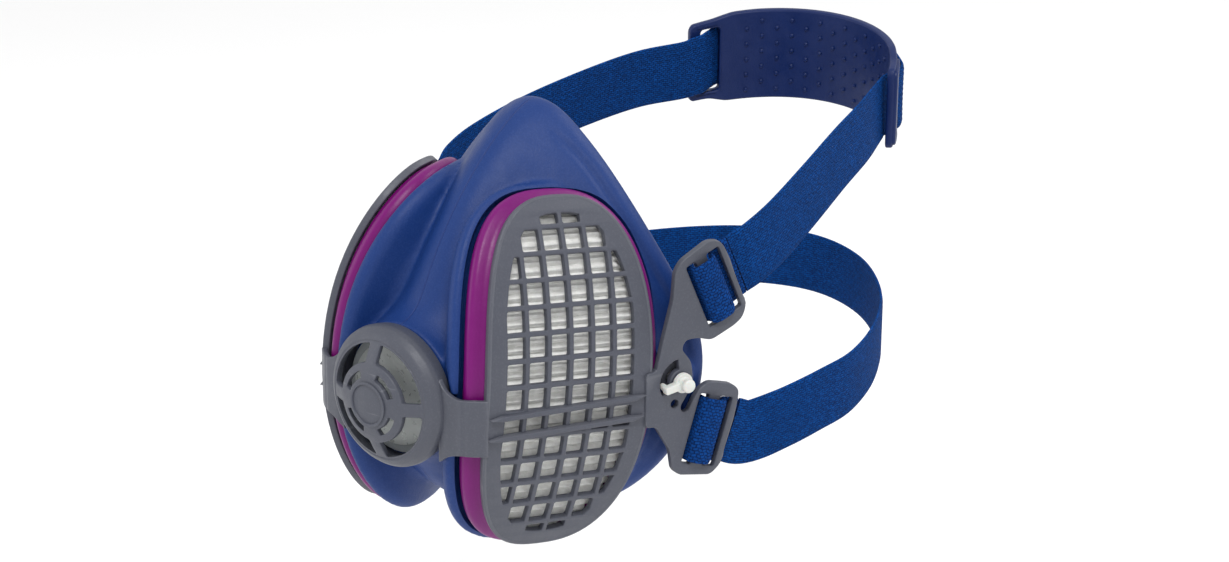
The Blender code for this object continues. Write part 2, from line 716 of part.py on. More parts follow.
def head_cradle():
    body = prism(CRADLE_OUTLINE, -CRADLE_THICK / 2, CRADLE_THICK / 2)
    for side in (-1, 1):
        near, far = sorted(side * edge for edge in CRADLE_SLOT)
        body = cut(body, box(near, far, -10.8, 10.8, -5, 5))
    sliced(body, (1, 0, 0), [CRADLE_END * (i / 8 - 1) for i in range(1, 16)])
    for vert in body.verts:
        u, v, w = vert.co
        point = on_cradle(math.degrees(u / CRADLE_RADIUS), w)
        vert.co = (point.x, point.y, point.z + v)
    bmesh.ops.recalc_face_normals(body, faces=body.faces)
    return body


# ---- assembly


def add_empty(name, place, collection):
    empty = bpy.data.objects.new(name, None)
    empty.location = (place - SEAL_CENTRE) * 0.001
    empty.empty_display_size = 0.01
    collection.objects.link(empty)
    return empty


def add_piece(bm, name, material, collection, parent=None, mirror=False):
    """Adds a bmesh, or its mirror image, as a named object in metres about the seal's centre."""
    matrix = Matrix.Scale(0.001, 4) @ Matrix.Translation(-SEAL_CENTRE)
    if mirror:
        matrix = matrix @ Matrix.Diagonal((-1, 1, 1, 1))
    bmesh.ops.transform(bm, matrix=matrix, verts=bm.verts)
    if mirror:
        bmesh.ops.reverse_faces(bm, faces=bm.faces)
    mesh = bpy.data.meshes.new(name)
    bm.to_mesh(mesh)
    mesh.materials.append(material)
    mesh.shade_smooth()
    mesh.set_sharp_from_angle(angle=math.radians(35))
    obj = bpy.data.objects.new(name, mesh)
    collection.objects.link(obj)
    if parent is not None:
        bpy.context.view_layer.update()
        obj.parent = parent
        obj.matrix_parent_inverse = parent.matrix_world.inverted()


SIDE_PIECES = (
    # name, maker, material, axis empty
    ("inhalation_seat", inhalation_seat, "clear_polycarbonate", None),
    ("pin_anchor", pin_anchor, "harness_grey", None),
    ("inhalation_flap", inhalation_flap, "flap_silicone", "filter_axis"),
    ("filter_rim", filter_rim, "filter_magenta", "filter_axis"),
    ("filter_media", filter_media, "filter_media", "filter_axis"),
    ("filter_base", filter_base, "filter_white", "filter_axis"),
    ("spigot_seal", spigot_seal, "seal_rubber", "filter_axis"),
    ("hinge_band", hinge_band, "harness_grey", "wing_axis"),
    ("grid_cover", grid_cover, "harness_grey", "wing_axis"),
    ("strap_yoke", strap_yoke, "harness_grey", "wing_axis"),
    ("upper_strap_loop", lambda: strap_loop(UPPER_BAR), "strap_elastic", "wing_axis"),
    ("neck_strap_loop", lambda: strap_loop(LOWER_BAR), "strap_elastic", "wing_axis"),
    ("lock_pin", lock_pin, "pin_nylon", "pin_axis"),
)

CENTRE_PIECES = (
    ("facepiece", facepiece, "facepiece_silicone"),
    ("valve_cover", valve_cover, "harness_grey"),
    ("exhalation_valve_seat", exhalation_valve_seat, "clear_polycarbonate"),
    ("exhalation_flap", exhalation_flap, "flap_silicone"),
    ("upper_strap", upper_strap, "strap_elastic"),
    ("neck_strap", neck_strap, "strap_elastic"),
    ("head_cradle", head_cradle, "cradle_plastic"),
)


def main():
    clear_scene()
    collection = make_collection("respirator")
    materials = {name: make_material(name) for name in COLOURS}
    valve_axis = add_empty("valve_axis", Vector((0, 0, 0)), collection)
    for name, make, material in CENTRE_PIECES:
        parent = valve_axis if name == "exhalation_flap" else None
        add_piece(make(), name, materials[material], collection, parent)
    places = {"filter_axis": FILTER_CENTRE, "wing_axis": HINGE, "pin_axis": pin_frame().translation}
    for side, mirror in (("right", False), ("left", True)):
        flip = Matrix.Diagonal((-1, 1, 1)) if mirror else Matrix.Identity(3)
        axes = {name: add_empty(f"{name}_{side}", flip @ place, collection) for name, place in places.items()}
        for name, make, material, axis in SIDE_PIECES:
            add_piece(make(), f"{name}_{side}", materials[material], collection, axes.get(axis), mirror)


main()
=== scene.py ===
import json
import math

import bmesh
import bpy
from mathutils import Matrix, Vector
from mathutils.kdtree import KDTree

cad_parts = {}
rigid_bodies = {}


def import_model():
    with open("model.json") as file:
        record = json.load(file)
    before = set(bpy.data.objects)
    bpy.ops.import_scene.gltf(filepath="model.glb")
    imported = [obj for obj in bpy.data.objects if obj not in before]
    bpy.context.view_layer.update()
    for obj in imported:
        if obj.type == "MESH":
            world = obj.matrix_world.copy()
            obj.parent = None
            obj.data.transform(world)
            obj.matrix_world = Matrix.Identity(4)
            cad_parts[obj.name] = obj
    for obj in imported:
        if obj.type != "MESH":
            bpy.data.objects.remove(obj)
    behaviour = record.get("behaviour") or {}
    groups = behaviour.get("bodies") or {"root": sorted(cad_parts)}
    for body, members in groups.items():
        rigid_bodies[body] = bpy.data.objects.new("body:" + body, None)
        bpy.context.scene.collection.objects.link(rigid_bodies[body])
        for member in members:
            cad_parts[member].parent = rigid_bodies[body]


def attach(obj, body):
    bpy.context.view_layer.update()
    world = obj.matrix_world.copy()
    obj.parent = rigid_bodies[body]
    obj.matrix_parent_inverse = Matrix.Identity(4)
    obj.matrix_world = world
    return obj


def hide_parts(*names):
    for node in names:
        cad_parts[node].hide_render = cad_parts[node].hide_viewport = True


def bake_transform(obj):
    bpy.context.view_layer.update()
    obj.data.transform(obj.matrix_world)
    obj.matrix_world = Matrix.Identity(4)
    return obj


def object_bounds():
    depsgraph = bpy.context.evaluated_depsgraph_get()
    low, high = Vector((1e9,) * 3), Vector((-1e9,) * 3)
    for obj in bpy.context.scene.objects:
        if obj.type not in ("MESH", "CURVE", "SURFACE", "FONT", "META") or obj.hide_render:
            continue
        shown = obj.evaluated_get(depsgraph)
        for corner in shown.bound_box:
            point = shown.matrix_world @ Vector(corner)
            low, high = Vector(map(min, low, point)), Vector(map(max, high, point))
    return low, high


# Looks of the half-mask respirator. Lengths are in millimetres from the centre of the valve cover's front
# face, with -Y to the front and +Z up, as in the CAD; to_row() gives the frame's metres.

# Driving dimensions, the same as the CAD's
SEAL_CENTRE = Vector((0, 68, 12))
WEB = 20.0  # strap width
WEB_THICK = 1.4
FILTER_CENTRE = Vector((42, 35, 5.5))  # outer face of the right grid cover
FILTER_TOE = 20.0
FILTER_LEAN = 4.5
FILTER_TILT = 5.4
FILTER_RADIUS = 100.0  # bend of the filter about its own short axis
OVAL_W = 27.0
OVAL_H = 55.0
OVAL_POWER = 2.6
COVER_THICK = 2.2
GRID_PITCH_X = 7.1
GRID_PITCH_Y = 7.6
GRID_BAR = 1.4
GRID_BORDER = 5.6
RIM_TOP = -2.6
RIM_FOOT = -10.2
RIM_BULGE = 4.0
LIP_TOP = -7.8
LIP_OUT = 7.6
PAN_MOUTH = 4.6
PAN_STEP = -10.3
PAN_WALL = 2.6
BASE_TOP = -10.5
BASE_FOOT = -12.5
PAN_FLOOR = -12.9
PAN_BACK = -16.2
SPIGOT = 11.0
SEAT_BORE = 11.3
SEAT_OUTER = 15.7
BAND_LOW = -12.0
BAND_HIGH = 5.0
BAND_THICK = 1.6
COVER_DOME = 5.5
COVER_RIM = 18.0
SPIDER_ARM = 4.0
COVER_TURN = 3.0  # degrees that the cover's arms are turned from upright
YOKE_START = Vector((52.2, 60.2, 0))
YOKE_TOE = 18.0
YOKE_THICK = 2.2
PIN_AT = (9.0, -0.5)
PIN_SLOT_RADIUS = 5.5
ANCHOR_RADIUS = 5.0
PIN_RADIUS = 2.0
PIN_NUB_ANGLE = 190.0
PIN_TURN = 75.0
UPPER_BAR = (19.5, 26.5, 23.6)
LOWER_BAR = (18.0, -17.5, -17.4)
BAR_HALF = 2.0
WINDOW_FORE = 5.4
WINDOW_AFT = 6.6
WINDOW_LENGTH = 21.6
CRADLE_RADIUS = 45.0
CRADLE_CENTRE = Vector((0, 170.5, 0))
CRADLE_Z = 56.5
CRADLE_SLOPE = 0.16
CRADLE_THICK = 2.4
NECK_Z = -18.5
NECK_SLOPE = 0.07

# Camera, at the photograph's angle
CAMERA_AZIMUTH = 40.0
CAMERA_ELEVATION = 19.5
CAMERA_ROLL = 0.5
CAMERA_PLACE = (0.58903, -0.66621, 0.32089)
CAMERA_LENS = 92.27

MIRROR = Matrix.Diagonal((-1, 1, 1, 1))
FINE = 0.8  # voxel of the moulded rubber
FLOOR_DROP = 0.09  # metres from the mask's lowest point to the floor


# ---- mesh helpers: each makes or changes a bmesh in millimetres


def to_row():
    return Matrix.Scale(0.001, 4) @ Matrix.Translation(-SEAL_CENTRE)


def object_of(bm, name="work"):
    mesh = bpy.data.meshes.new(name)
    bm.to_mesh(mesh)
    bm.free()
    obj = bpy.data.objects.new(name, mesh)
    bpy.context.scene.collection.objects.link(obj)
    return obj


def baked(obj, *helpers):
    """The evaluated mesh of a work object as a bmesh; the objects are removed."""
    bpy.context.view_layer.update()
    graph = bpy.context.evaluated_depsgraph_get()
    mesh = bpy.data.meshes.new_from_object(obj.evaluated_get(graph))
    bm = bmesh.new()
    bm.from_mesh(mesh)
    bpy.data.meshes.remove(mesh)
    for used in (obj, *helpers):
        bpy.data.objects.remove(used)
    return bm


def modified(bm, kind, **settings):
    obj = object_of(bm)
    modifier = obj.modifiers.new(kind, kind)
    for key, value in settings.items():
        setattr(modifier, key, value)
    return baked(obj)


def combine(bm, other, operation, solver="MANIFOLD"):
    for part in (bm, other):
        bmesh.ops.recalc_face_normals(part, faces=part.faces)
        bmesh.ops.triangulate(part, faces=part.faces)
    obj, tool = object_of(bm), object_of(other, "tool")
    boolean = obj.modifiers.new("boolean", "BOOLEAN")
    boolean.operation = operation
    boolean.solver = solver
    boolean.object = tool
    return baked(obj, tool)


def cut(bm, *others):
    for other in others:
        bm = combine(bm, other, "DIFFERENCE")
    return bm


def join(bm, *others):
    for other in others:
        bm = combine(bm, other, "UNION")
    return bm


def merged(*parts):
    """Several bmeshes in one, left as separate shells."""
    whole = bmesh.new()
    for part in parts:
        mesh = bpy.data.meshes.new("part")
        part.to_mesh(mesh)
        part.free()
        whole.from_mesh(mesh)
        bpy.data.meshes.remove(mesh)
    return whole


def moved(bm, matrix):
    bmesh.ops.transform(bm, matrix=matrix, verts=bm.verts)
    if matrix.determinant() < 0:
        bmesh.ops.reverse_faces(bm, faces=bm.faces)
    return bm


def turned(profile, steps=64):
    """A closed body of revolution about Z, from a profile of (radius, height) points."""
    bm = bmesh.new()
    rings = []
    for radius, height in profile:
        if radius < 1e-6:
            rings.append([bm.verts.new((0, 0, height))])
            continue
        angles = [2 * math.pi * i / steps for i in range(steps)]
        rings.append([bm.verts.new((radius * math.cos(a), radius * math.sin(a), height)) for a in angles])
    pairs = list(zip(rings, rings[1:]))
    if len(rings[0]) > 1 or len(rings[-1]) > 1:
        pairs.append((rings[-1], rings[0]))
    for ring, following in pairs:
        for i in range(steps):
            j = (i + 1) % steps
            near = [ring[i % len(ring)], ring[j % len(ring)]]
            far = [following[j % len(following)], following[i % len(following)]]
            corners = [*near, *far]
            corners = list(dict.fromkeys(corners))
            if len(corners) > 2:
                bm.faces.new(corners)
    bmesh.ops.recalc_face_normals(bm, faces=bm.faces)
    return bm


def rounded_profile(points, radius=0.4, steps=3):
    """A closed profile with its corners rounded."""
    result = []
    count = len(points)
    for i, point in enumerate(points):
        here = Vector(point)
        before, after = Vector(points[i - 1]) - here, Vector(points[(i + 1) % count]) - here
        reach = min(radius, before.length * 0.45, after.length * 0.45)
        start, end = here + before.normalized() * reach, here + after.normalized() * reach
        for step in range(steps + 1):
            t = step / steps
            result.append(tuple(start * (1 - t) ** 2 + here * 2 * t * (1 - t) + end * t**2))
    return result


def ring_body(profile, radius=0.4, steps=64):
    """A turned ring whose closed profile stays off the axis."""
    return turned(rounded_profile(profile, radius), steps)


def disc(radius, low, high, steps=48, edge=0.0):
    if edge:
        return turned([(0, low), (radius - edge, low), (radius, low + edge), (radius, high - edge),
                       (radius - edge, high), (0, high)], steps)
    return turned([(0, low), (radius, low), (radius, high), (0, high)], steps)


def prism(outline, low, high):
    bm = bmesh.new()
    face = bm.faces.new([bm.verts.new((x, y, low)) for x, y in outline])
    raised = bmesh.ops.extrude_face_region(bm, geom=[face])["geom"]
    lift = [part for part in raised if isinstance(part, bmesh.types.BMVert)]
    bmesh.ops.translate(bm, verts=lift, vec=(0, 0, high - low))
    bmesh.ops.recalc_face_normals(bm, faces=bm.faces)
    return bm


def box(x0, x1, y0, y1, low, high):
    return prism([(x0, y0), (x1, y0), (x1, y1), (x0, y1)], low, high)


def plate(outline, holes, low, high, edge=0.35):
    """A flat plate with rounded edges from closed outlines in XY: the sides stay where the outlines say."""
    curve = bpy.data.curves.new("plate", "CURVE")
    curve.dimensions = "2D"
    curve.fill_mode = "BOTH"
    curve.extrude = (high - low) / 2 - edge
    curve.bevel_depth = edge
    curve.bevel_resolution = 2
    curve.offset = -edge
    for loop in (outline, *holes):
        spline = curve.splines.new("POLY")
        spline.points.add(len(loop) - 1)
        for point, (x, y) in zip(spline.points, loop):
            point.co = (x, y, 0, 1)
        spline.use_cyclic_u = True
    obj = bpy.data.objects.new("plate", curve)
    bpy.context.scene.collection.objects.link(obj)
    bm = baked(obj)
    bpy.data.curves.remove(curve)
    bmesh.ops.remove_doubles(bm, verts=bm.verts, dist=1e-4)
    bmesh.ops.translate(bm, verts=bm.verts, vec=(0, 0, (high + low) / 2))
    return bm


def rounded(outline, radius, steps=4):
    """An outline with its corners rounded."""
    return rounded_profile(outline, radius, steps)


def oval(grow=0.0, count=96):
    """The filter's outline, a rounded oval, with every side moved out by grow."""
    points = []
    for i in range(count):
        angle = 2 * math.pi * i / count
        c, s = math.cos(angle), math.sin(angle)
        x = math.copysign(abs(c) ** (2 / OVAL_POWER), c) * (OVAL_W + grow)
        y = math.copysign(abs(s) ** (2 / OVAL_POWER), s) * (OVAL_H + grow)
        points.append((x, y))
    return points


def oval_ring(profile, count=96):
    """A closed profile of (grow, height) points carried round the oval."""
    bm = bmesh.new()
    rows = [[bm.verts.new((x, y, height)) for x, y in oval(grow, count)] for grow, height in profile]
    for row, following in zip(rows, rows[1:] + rows[:1]):
        for i in range(count):
            j = (i + 1) % count
            bm.faces.new((row[i], row[j], following[j], following[i]))
    bmesh.ops.recalc_face_normals(bm, faces=bm.faces)
    return bm


def sliced(bm, normal, stations):
    """Adds edges where planes at these distances along a direction cross the mesh."""
    for station in stations:
        geometry = bm.verts[:] + bm.edges[:] + bm.faces[:]
        place = Vector(normal) * station
        bmesh.ops.bisect_plane(bm, geom=geometry, plane_co=place, plane_no=normal, dist=1e-4)
    return bm


def bend(bm, step=GRID_PITCH_Y / 2):
    """Slices a flat piece across Y at even stations, then bends it so that both ends go back."""
    last = math.ceil((OVAL_H + LIP_OUT) / step)
    sliced(bm, (0, 1, 0), [i * step for i in range(-last, last + 1)])
    for vert in bm.verts:
        x, y, z = vert.co
        angle = y / FILTER_RADIUS
        radius = FILTER_RADIUS + z
        vert.co = (x, radius * math.sin(angle), radius * math.cos(angle) - FILTER_RADIUS)
    return bm


def smooth_path(points, steps=8):
    """Points on a Catmull-Rom curve through the given ones."""
    ends = [points[0] * 2 - points[1], *points, points[-1] * 2 - points[-2]]
    path = []
    for a, b, c, d in zip(ends, ends[1:], ends[2:], ends[3:]):
        for i in range(steps):
            t = i / steps
            line = 2 * b + (c - a) * t
            curl = (2 * a - 5 * b + 4 * c - d) * t**2 + (3 * b - a - 3 * c + d) * t**3
            path.append(0.5 * (line + curl))
    return [*path, points[-1]]


def smooth_outline(points, steps=4):
    """A closed Catmull-Rom outline through points; a point given twice is a corner."""
    count = len(points)
    result = []
    for i in range(count):
        a, b, c, d = (Vector(points[(i + k) % count]) for k in (-1, 0, 1, 2))
        if (b - c).length < 1e-6:
            continue
        a = b if (a - b).length < 1e-6 else a
        d = c if (d - c).length < 1e-6 else d
        for step in range(steps):
            t = step / steps
            line = 2 * b + (c - a) * t
            curl = (2 * a - 5 * b + 4 * c - d) * t**2 + (3 * b - a - 3 * c + d) * t**3
            result.append(tuple(0.5 * (line + curl)))
    return result


# ---- frames of the right-hand side


def frame_matrix(origin, x_axis, y_axis):
    x_axis, y_axis = x_axis.normalized(), y_axis.normalized()
    matrix = Matrix((x_axis, y_axis, x_axis.cross(y_axis))).transposed().to_4x4()
    matrix.translation = origin
    return matrix


def valve_frame():
    return frame_matrix(Vector((0, 0, 0)), Vector((1, 0, 0)), Vector((0, 0, 1)))


def filter_frame():
    toe, lean, tilt = (math.radians(a) for a in (FILTER_TOE, FILTER_LEAN, FILTER_TILT))
    normal = Vector((math.cos(toe) * math.cos(lean), -math.sin(toe) * math.cos(lean), math.sin(lean)))
    back = Vector((math.sin(toe), math.cos(toe), 0))
    up = normal.cross(back)
    return frame_matrix(
        FILTER_CENTRE,
        back * math.cos(tilt) - up * math.sin(tilt),
        up * math.cos(tilt) + back * math.sin(tilt),
    )


def yoke_frame():
    toe = math.radians(YOKE_TOE)
    return frame_matrix(YOKE_START, Vector((math.sin(toe), math.cos(toe), 0)), Vector((0, 0, 1)))


def bar_frame(bar):
    """X leaves along the strap, Y lies along the bar, Z points out of the yoke."""
    back, up, rise = bar
    return yoke_frame() @ Matrix.Translation((back, up, 0)) @ Matrix.Rotation(math.radians(rise), 4, "Z")


def pin_frame():
    return yoke_frame() @ Matrix.Translation((*PIN_AT, 0))


# ---- facepiece

# Half outlines from the nose bridge round to the chin, front to back. Each row is one ring of the shell.
SHELL_RINGS = (
    ((0, 9, 20.5), (4, 9, 20.1), (8, 9, 18.9), (13.2, 9, 15.7), (17.8, 9, 10.3), (20.2, 9, 3.6),
     (20.2, 9, -3.6), (17.8, 9, -10.3), (13.2, 9, -15.7), (7, 9, -19.3), (0, 9, -20.5)),
    ((0, 16, 22.5), (4.6, 16.4, 22.2), (9.5, 17.5, 20.5), (15, 18.5, 16.8), (20, 19.5, 11), (22, 20.5, 4),
     (22, 20.5, -4), (20, 19.5, -11), (15, 17.5, -17.5), (8, 16, -22.5), (0, 15, -25)),
    ((0, 21.5, 36), (4.8, 22, 35.4), (9.5, 25, 34), (17, 31, 31), (23, 36, 24), (26, 38, 14),
     (27, 39, 2), (26, 38, -10), (23, 33, -22), (13, 24, -31), (0, 20, -34)),
    ((0, 33.5, 53.5), (5, 34.3, 52.8), (10.5, 39.5, 50), (19.5, 46, 45.5), (28, 51, 36.5), (33.5, 54, 22),
     (36, 56, 4), (35, 54, -12), (31, 48, -27), (17, 36, -38), (0, 30, -42)),
    ((0, 50, 69), (5.2, 51, 68), (11, 54.5, 64.5), (21.5, 59, 55.5), (32, 62, 43.5), (40, 67, 27),
     (45.5, 71, 7), (44, 68, -13), (38, 61, -30), (22, 51, -43), (0, 44, -48)),
    ((0, 63.5, 76.5), (5.5, 64.5, 75.6), (12, 66, 72), (22.5, 69, 62), (34.5, 70, 48.5), (44.5, 74, 31),
     (55, 80, 8.5), (53.5, 78, -14), (46, 71, -33), (28, 62, -48.5), (0, 56, -54)),
    ((0, 70, 76), (5.2, 71, 74.8), (10.5, 72, 71), (20.5, 74, 61), (32, 75.5, 47.5), (42, 80, 30.5),
     (53, 86, 8.5), (51.5, 84, -13), (44, 76, -31.5), (27, 67.5, -47), (0, 61, -52.5)),
    ((0, 74, 66), (3.2, 75.3, 65), (6.5, 76, 62.5), (14, 78, 53.5), (25, 79.5, 40.5), (34.5, 83, 26.5),
     (41.5, 87.5, 7), (40, 85, -10.5), (33.5, 78.5, -25), (20, 71, -37.5), (0, 65, -42)),
)
SHELL_THICK = 2.4


def shell_surface():
    bm = bmesh.new()
    rings = []
    for half in SHELL_RINGS:
        left = [(-x, y, z) for x, y, z in reversed(half[1:-1])]
        rings.append([bm.verts.new(point) for point in (*half, *left)])
    count = len(rings[0])
    for ring, following in zip(rings, rings[1:]):
        for i in range(count):
            j = (i + 1) % count
            bm.faces.new((ring[i], following[i], following[j], ring[j]))
    bm.normal_update()
    top = max(bm.faces, key=lambda face: face.calc_center_median().z)
    if top.normal.z < 0:
        bmesh.ops.reverse_faces(bm, faces=bm.faces)
    return bm


BAND_CLEARANCE = ((15, 0), (30, 3), (36, 8), (32, 12.5), (29.5, 9.6), (27, 9.0), (15, 9.0))
FLANGE = ((-1.0, -25), (2.0, -18), (LIP_OUT - 0.6, -12.6), (LIP_OUT, -11.2), (LIP_OUT, -9.4),
          (LIP_OUT - 0.5, LIP_TOP - 0.4), (LIP_OUT - 1.2, LIP_TOP))
PAN = ((PAN_WALL, PAN_FLOOR), (PAN_WALL, PAN_STEP - 1.2), (PAN_MOUTH, PAN_STEP), (PAN_MOUTH, -9.0),
       (PAN_MOUTH + 0.7, LIP_TOP + 0.1), (PAN_MOUTH + 0.7, 12))
SEAL_FOLD = 0.6  # how far from the fifth ring to the sixth the fold round the face seal lies
FOLD_DEPTH = 1.3


def tapered(rows, count=96):
    """A closed body between ovals of different sizes at different depths."""
    bm = bmesh.new()
    rings = [[bm.verts.new((x, y, depth)) for x, y in oval(grow, count)] for grow, depth in rows]
    for ring, following in zip(rings, rings[1:]):
        for i in range(count):
            j = (i + 1) % count
            bm.faces.new((ring[i], ring[j], following[j], following[i]))
    bm.faces.new(rings[0])
    bm.faces.new(rings[-1])
    bmesh.ops.recalc_face_normals(bm, faces=bm.faces)
    return bm


def engraved(bm, lines, width, depth):
    """Pushes the surface in along lines; each fades out at its two ends."""
    tree = KDTree(sum(len(line) for line in lines))
    fades = []
    for line in lines:
        for i, point in enumerate(line):
            tree.insert(point, len(fades))
            fades.append(math.sin(math.pi * (i + 0.5) / len(line)) ** 0.5)
    tree.balance()
    bm.normal_update()
    shifts = []
    for vert in bm.verts:
        _, index, distance = tree.find(vert.co)
        reach = distance / width
        if reach < 3:
            shifts.append((vert, vert.normal * depth * fades[index] * math.exp(-(reach**2))))
    for vert, shift in shifts:
        vert.co -= shift
    return bm


def fold_lines():
    """The fold where the face seal turns away from the cheeks, on both sides."""
    half = [Vector(a).lerp(Vector(b), SEAL_FOLD) for a, b in zip(SHELL_RINGS[4][2:9], SHELL_RINGS[5][2:9])]
    right = smooth_path(half, 24)
    return [right, [Vector((-p.x, p.y, p.z)) for p in right]]


def facepiece():
    body = modified(shell_surface(), "SUBSURF", levels=3)
    body = modified(body, "SOLIDIFY", thickness=SHELL_THICK, offset=-1)

    def both(frame, make, operation):
        nonlocal body
        for placed in (frame, MIRROR @ frame):
            body = combine(body, moved(make(), placed), operation)

    port, pin, valve = filter_frame(), pin_frame(), valve_frame()
    both(port, lambda: bend(tapered(FLANGE)), "UNION")
    both(port, lambda: bend(prism(oval(-6), -48, PAN_BACK)), "DIFFERENCE")
    body = cut(body, moved(disc(22.3, -8.6, 20), valve))
    body = join(body, moved(ring_body([(14.6, -14), (20.8, -14), (20.8, -8.6), (14.6, -8.6)]), valve))
    both(port, lambda: disc(19.0, -19.4, -13.6), "UNION")
    both(pin, lambda: disc(7.6, -14, -3.6, 40, 1.0), "UNION")
    body = modified(body, "REMESH", mode="VOXEL", voxel_size=FINE)
    body = modified(body, "SMOOTH", factor=0.5, iterations=7)
    body = engraved(body, fold_lines(), 1.5, FOLD_DEPTH)
    body = cut(body, moved(disc(15.2, -40, 5), valve))
    both(port, lambda: bend(tapered(PAN)), "DIFFERENCE")
    both(port, lambda: disc(SEAT_OUTER + 0.3, -40, 5), "DIFFERENCE")
    both(pin, lambda: disc(ANCHOR_RADIUS + 0.3, -10.8, 5), "DIFFERENCE")
    both(Matrix.Identity(4), lambda: prism(BAND_CLEARANCE, BAND_LOW - 0.8, BAND_HIGH + 0.8), "DIFFERENCE")
    return body


# ---- exhalation valve

def arc_slot(inner, outer, start, end, steps=14):
    """Outline of a slot between two radii, from one angle in degrees to another."""
    angles = [math.radians(start + (end - start) * i / steps) for i in range(steps + 1)]
    near = [(inner * math.cos(a), inner * math.sin(a)) for a in angles]
    far = [(outer * math.cos(a), outer * math.sin(a)) for a in reversed(angles)]
    return near + far


def arm_window(inner, outer, start, steps=14):
    """Outline of a window between two of the cover's straight-sided arms."""
    outline = []
    for radius, way in ((inner, 1), (outer, -1)):
        edge = math.degrees(math.asin(SPIDER_ARM / 2 / radius))
        angles = [math.radians(start + edge + (90 - 2 * edge) * i / steps) for i in range(steps + 1)]
        outline += [(radius * math.cos(a), radius * math.sin(a)) for a in angles[::way]]
    return outline


def circle(radius, steps=96):
    angles = [2 * math.pi * i / steps for i in range(steps)]
    return [(radius * math.cos(a), radius * math.sin(a)) for a in angles]


def dome_height(radius):
    """Height of the valve cover's face over its rim."""
    share = min(1.0, radius / COVER_RIM)
    return COVER_DOME * (1 - share**2.2)


def valve_cover():
    holes = []
    for quarter in range(4):
        start = 90 * quarter + COVER_TURN
        holes.append(rounded(arm_window(11.9, 17.0, start), 0.8))
        holes.append(rounded(arc_slot(7.7, 9.7, start + 20, start + 70, 10), 0.8))
    grille = modified(plate(circle(COVER_RIM), holes, -1.8, 0, 0.3), "TRIANGULATE")
    grille = sliced(grille, (1, 0, 0), [2.4 * i for i in range(-7, 8)])
    grille = sliced(grille, (0, 1, 0), [2.4 * i for i in range(-7, 8)])
    for vert in grille.verts:
        vert.co.z += dome_height(math.hypot(vert.co.x, vert.co.y))
    flank = ring_body([(COVER_RIM - 0.9, -1.9), (COVER_RIM - 0.7, 0.25), (COVER_RIM + 0.1, 0.3), (19.7, -0.9),
                       (21.0, -2.7), (21.3, -4.4), (20.7, -8.2), (18.9, -8.2), (19.2, -4.8)], 0.45, 96)
    badge = ring_body([(6.5, 4.6), (6.7, 5.45), (5.9, 5.5), (5.6, 4.7)], 0.12)
    return moved(merged(grille, flank, badge), valve_frame())


def exhalation_valve_seat():
    parts = [ring_body([(17.8, -6.4), (17.8, -8.2), (14.9, -8.2), (14.9, -12), (13, -12), (13, -6.4)], 0.2)]
    stem = [(0, -2.9), (2.6, -2.9), (2.6, -3.4), (1.6, -3.4), (1.6, -6.2), (3.5, -6.2), (3.5, -7.6),
            (0, -7.6)]
    parts.append(turned(stem))
    parts.append(ring_body([(8.2, -6.3), (9.0, -6.3), (9.0, -7.5), (8.2, -7.5)], 0.15))
    for i in range(8):
        spoke = box(2, 14, -0.45, 0.45, -7.5, -6.3)
        parts.append(moved(spoke, Matrix.Rotation(math.radians(45 * i + 10), 4, "Z")))
    return moved(merged(*parts), valve_frame())


def exhalation_flap():
    profile = [(2.0, -5.3), (5, -5.2), (9, -5.25), (13.6, -5.2), (15.2, -5.35), (15.2, -5.6), (13.6, -5.7),
               (2.0, -5.8)]
    return moved(ring_body(profile, 0.1), valve_frame())


# ---- filters


def clipped(corners, hull):
    """A convex outline cut to the inside of another, both anticlockwise."""
    for a, b in zip(hull, hull[1:] + hull[:1]):
        kept = []
        side = [(b[0] - a[0]) * (y - a[1]) - (b[1] - a[1]) * (x - a[0]) for x, y in corners]
        for i, point in enumerate(corners):
            j = (i + 1) % len(corners)
            if side[i] >= 0:
                kept.append(point)
            if side[i] * side[j] < 0:
                share = side[i] / (side[i] - side[j])
                kept.append(tuple(p + (q - p) * share for p, q in zip(point, corners[j])))
        corners = kept
        if len(corners) < 3:
            return []
    return corners


def area_of(outline):
    return sum(x0 * y1 - x1 * y0 for (x0, y0), (x1, y1) in zip(outline, outline[1:] + outline[:1])) / 2


def grid_windows():
    hull = oval(-GRID_BORDER, 64)
    half_x, half_y = (GRID_PITCH_X - GRID_BAR) / 2, (GRID_PITCH_Y - GRID_BAR) / 2
    windows = []
    for column in range(-4, 4):
        for row in range(-7, 7):
            x, y = (column + 0.5) * GRID_PITCH_X, (row + 0.5) * GRID_PITCH_Y
            low, high = y - half_y, y + half_y
            corners = [(x - half_x, low), (x + half_x, low), (x + half_x, high), (x - half_x, high)]
            window = clipped(corners, hull)
            if window and area_of(window) > 3.0:
                windows.append(rounded(window, 0.55, 3))
    return windows


def grid_rib(height):
    """One of the two pointed ribs across the lower middle of the grid cover."""
    outline = [(-25.6, height - 0.3), (-22, height - 0.75), (21, height + 1.6), (24.6, height + 3.0),
               (21, height + 3.1), (-22, height + 0.75)]
    return plate(outline, [], -1.2, 1.5, 0.3)


def grid_cover():
    face = plate(oval(), grid_windows(), -COVER_THICK, 0, 0.35)
    lip = oval_ring([(-1.3, -0.5), (-1.0, 0.05), (-0.5, 0.12), (-0.25, -0.1), (-0.2, -0.6)])
    return moved(bend(merged(face, lip, grid_rib(-8.4), grid_rib(-14.6))), filter_frame())


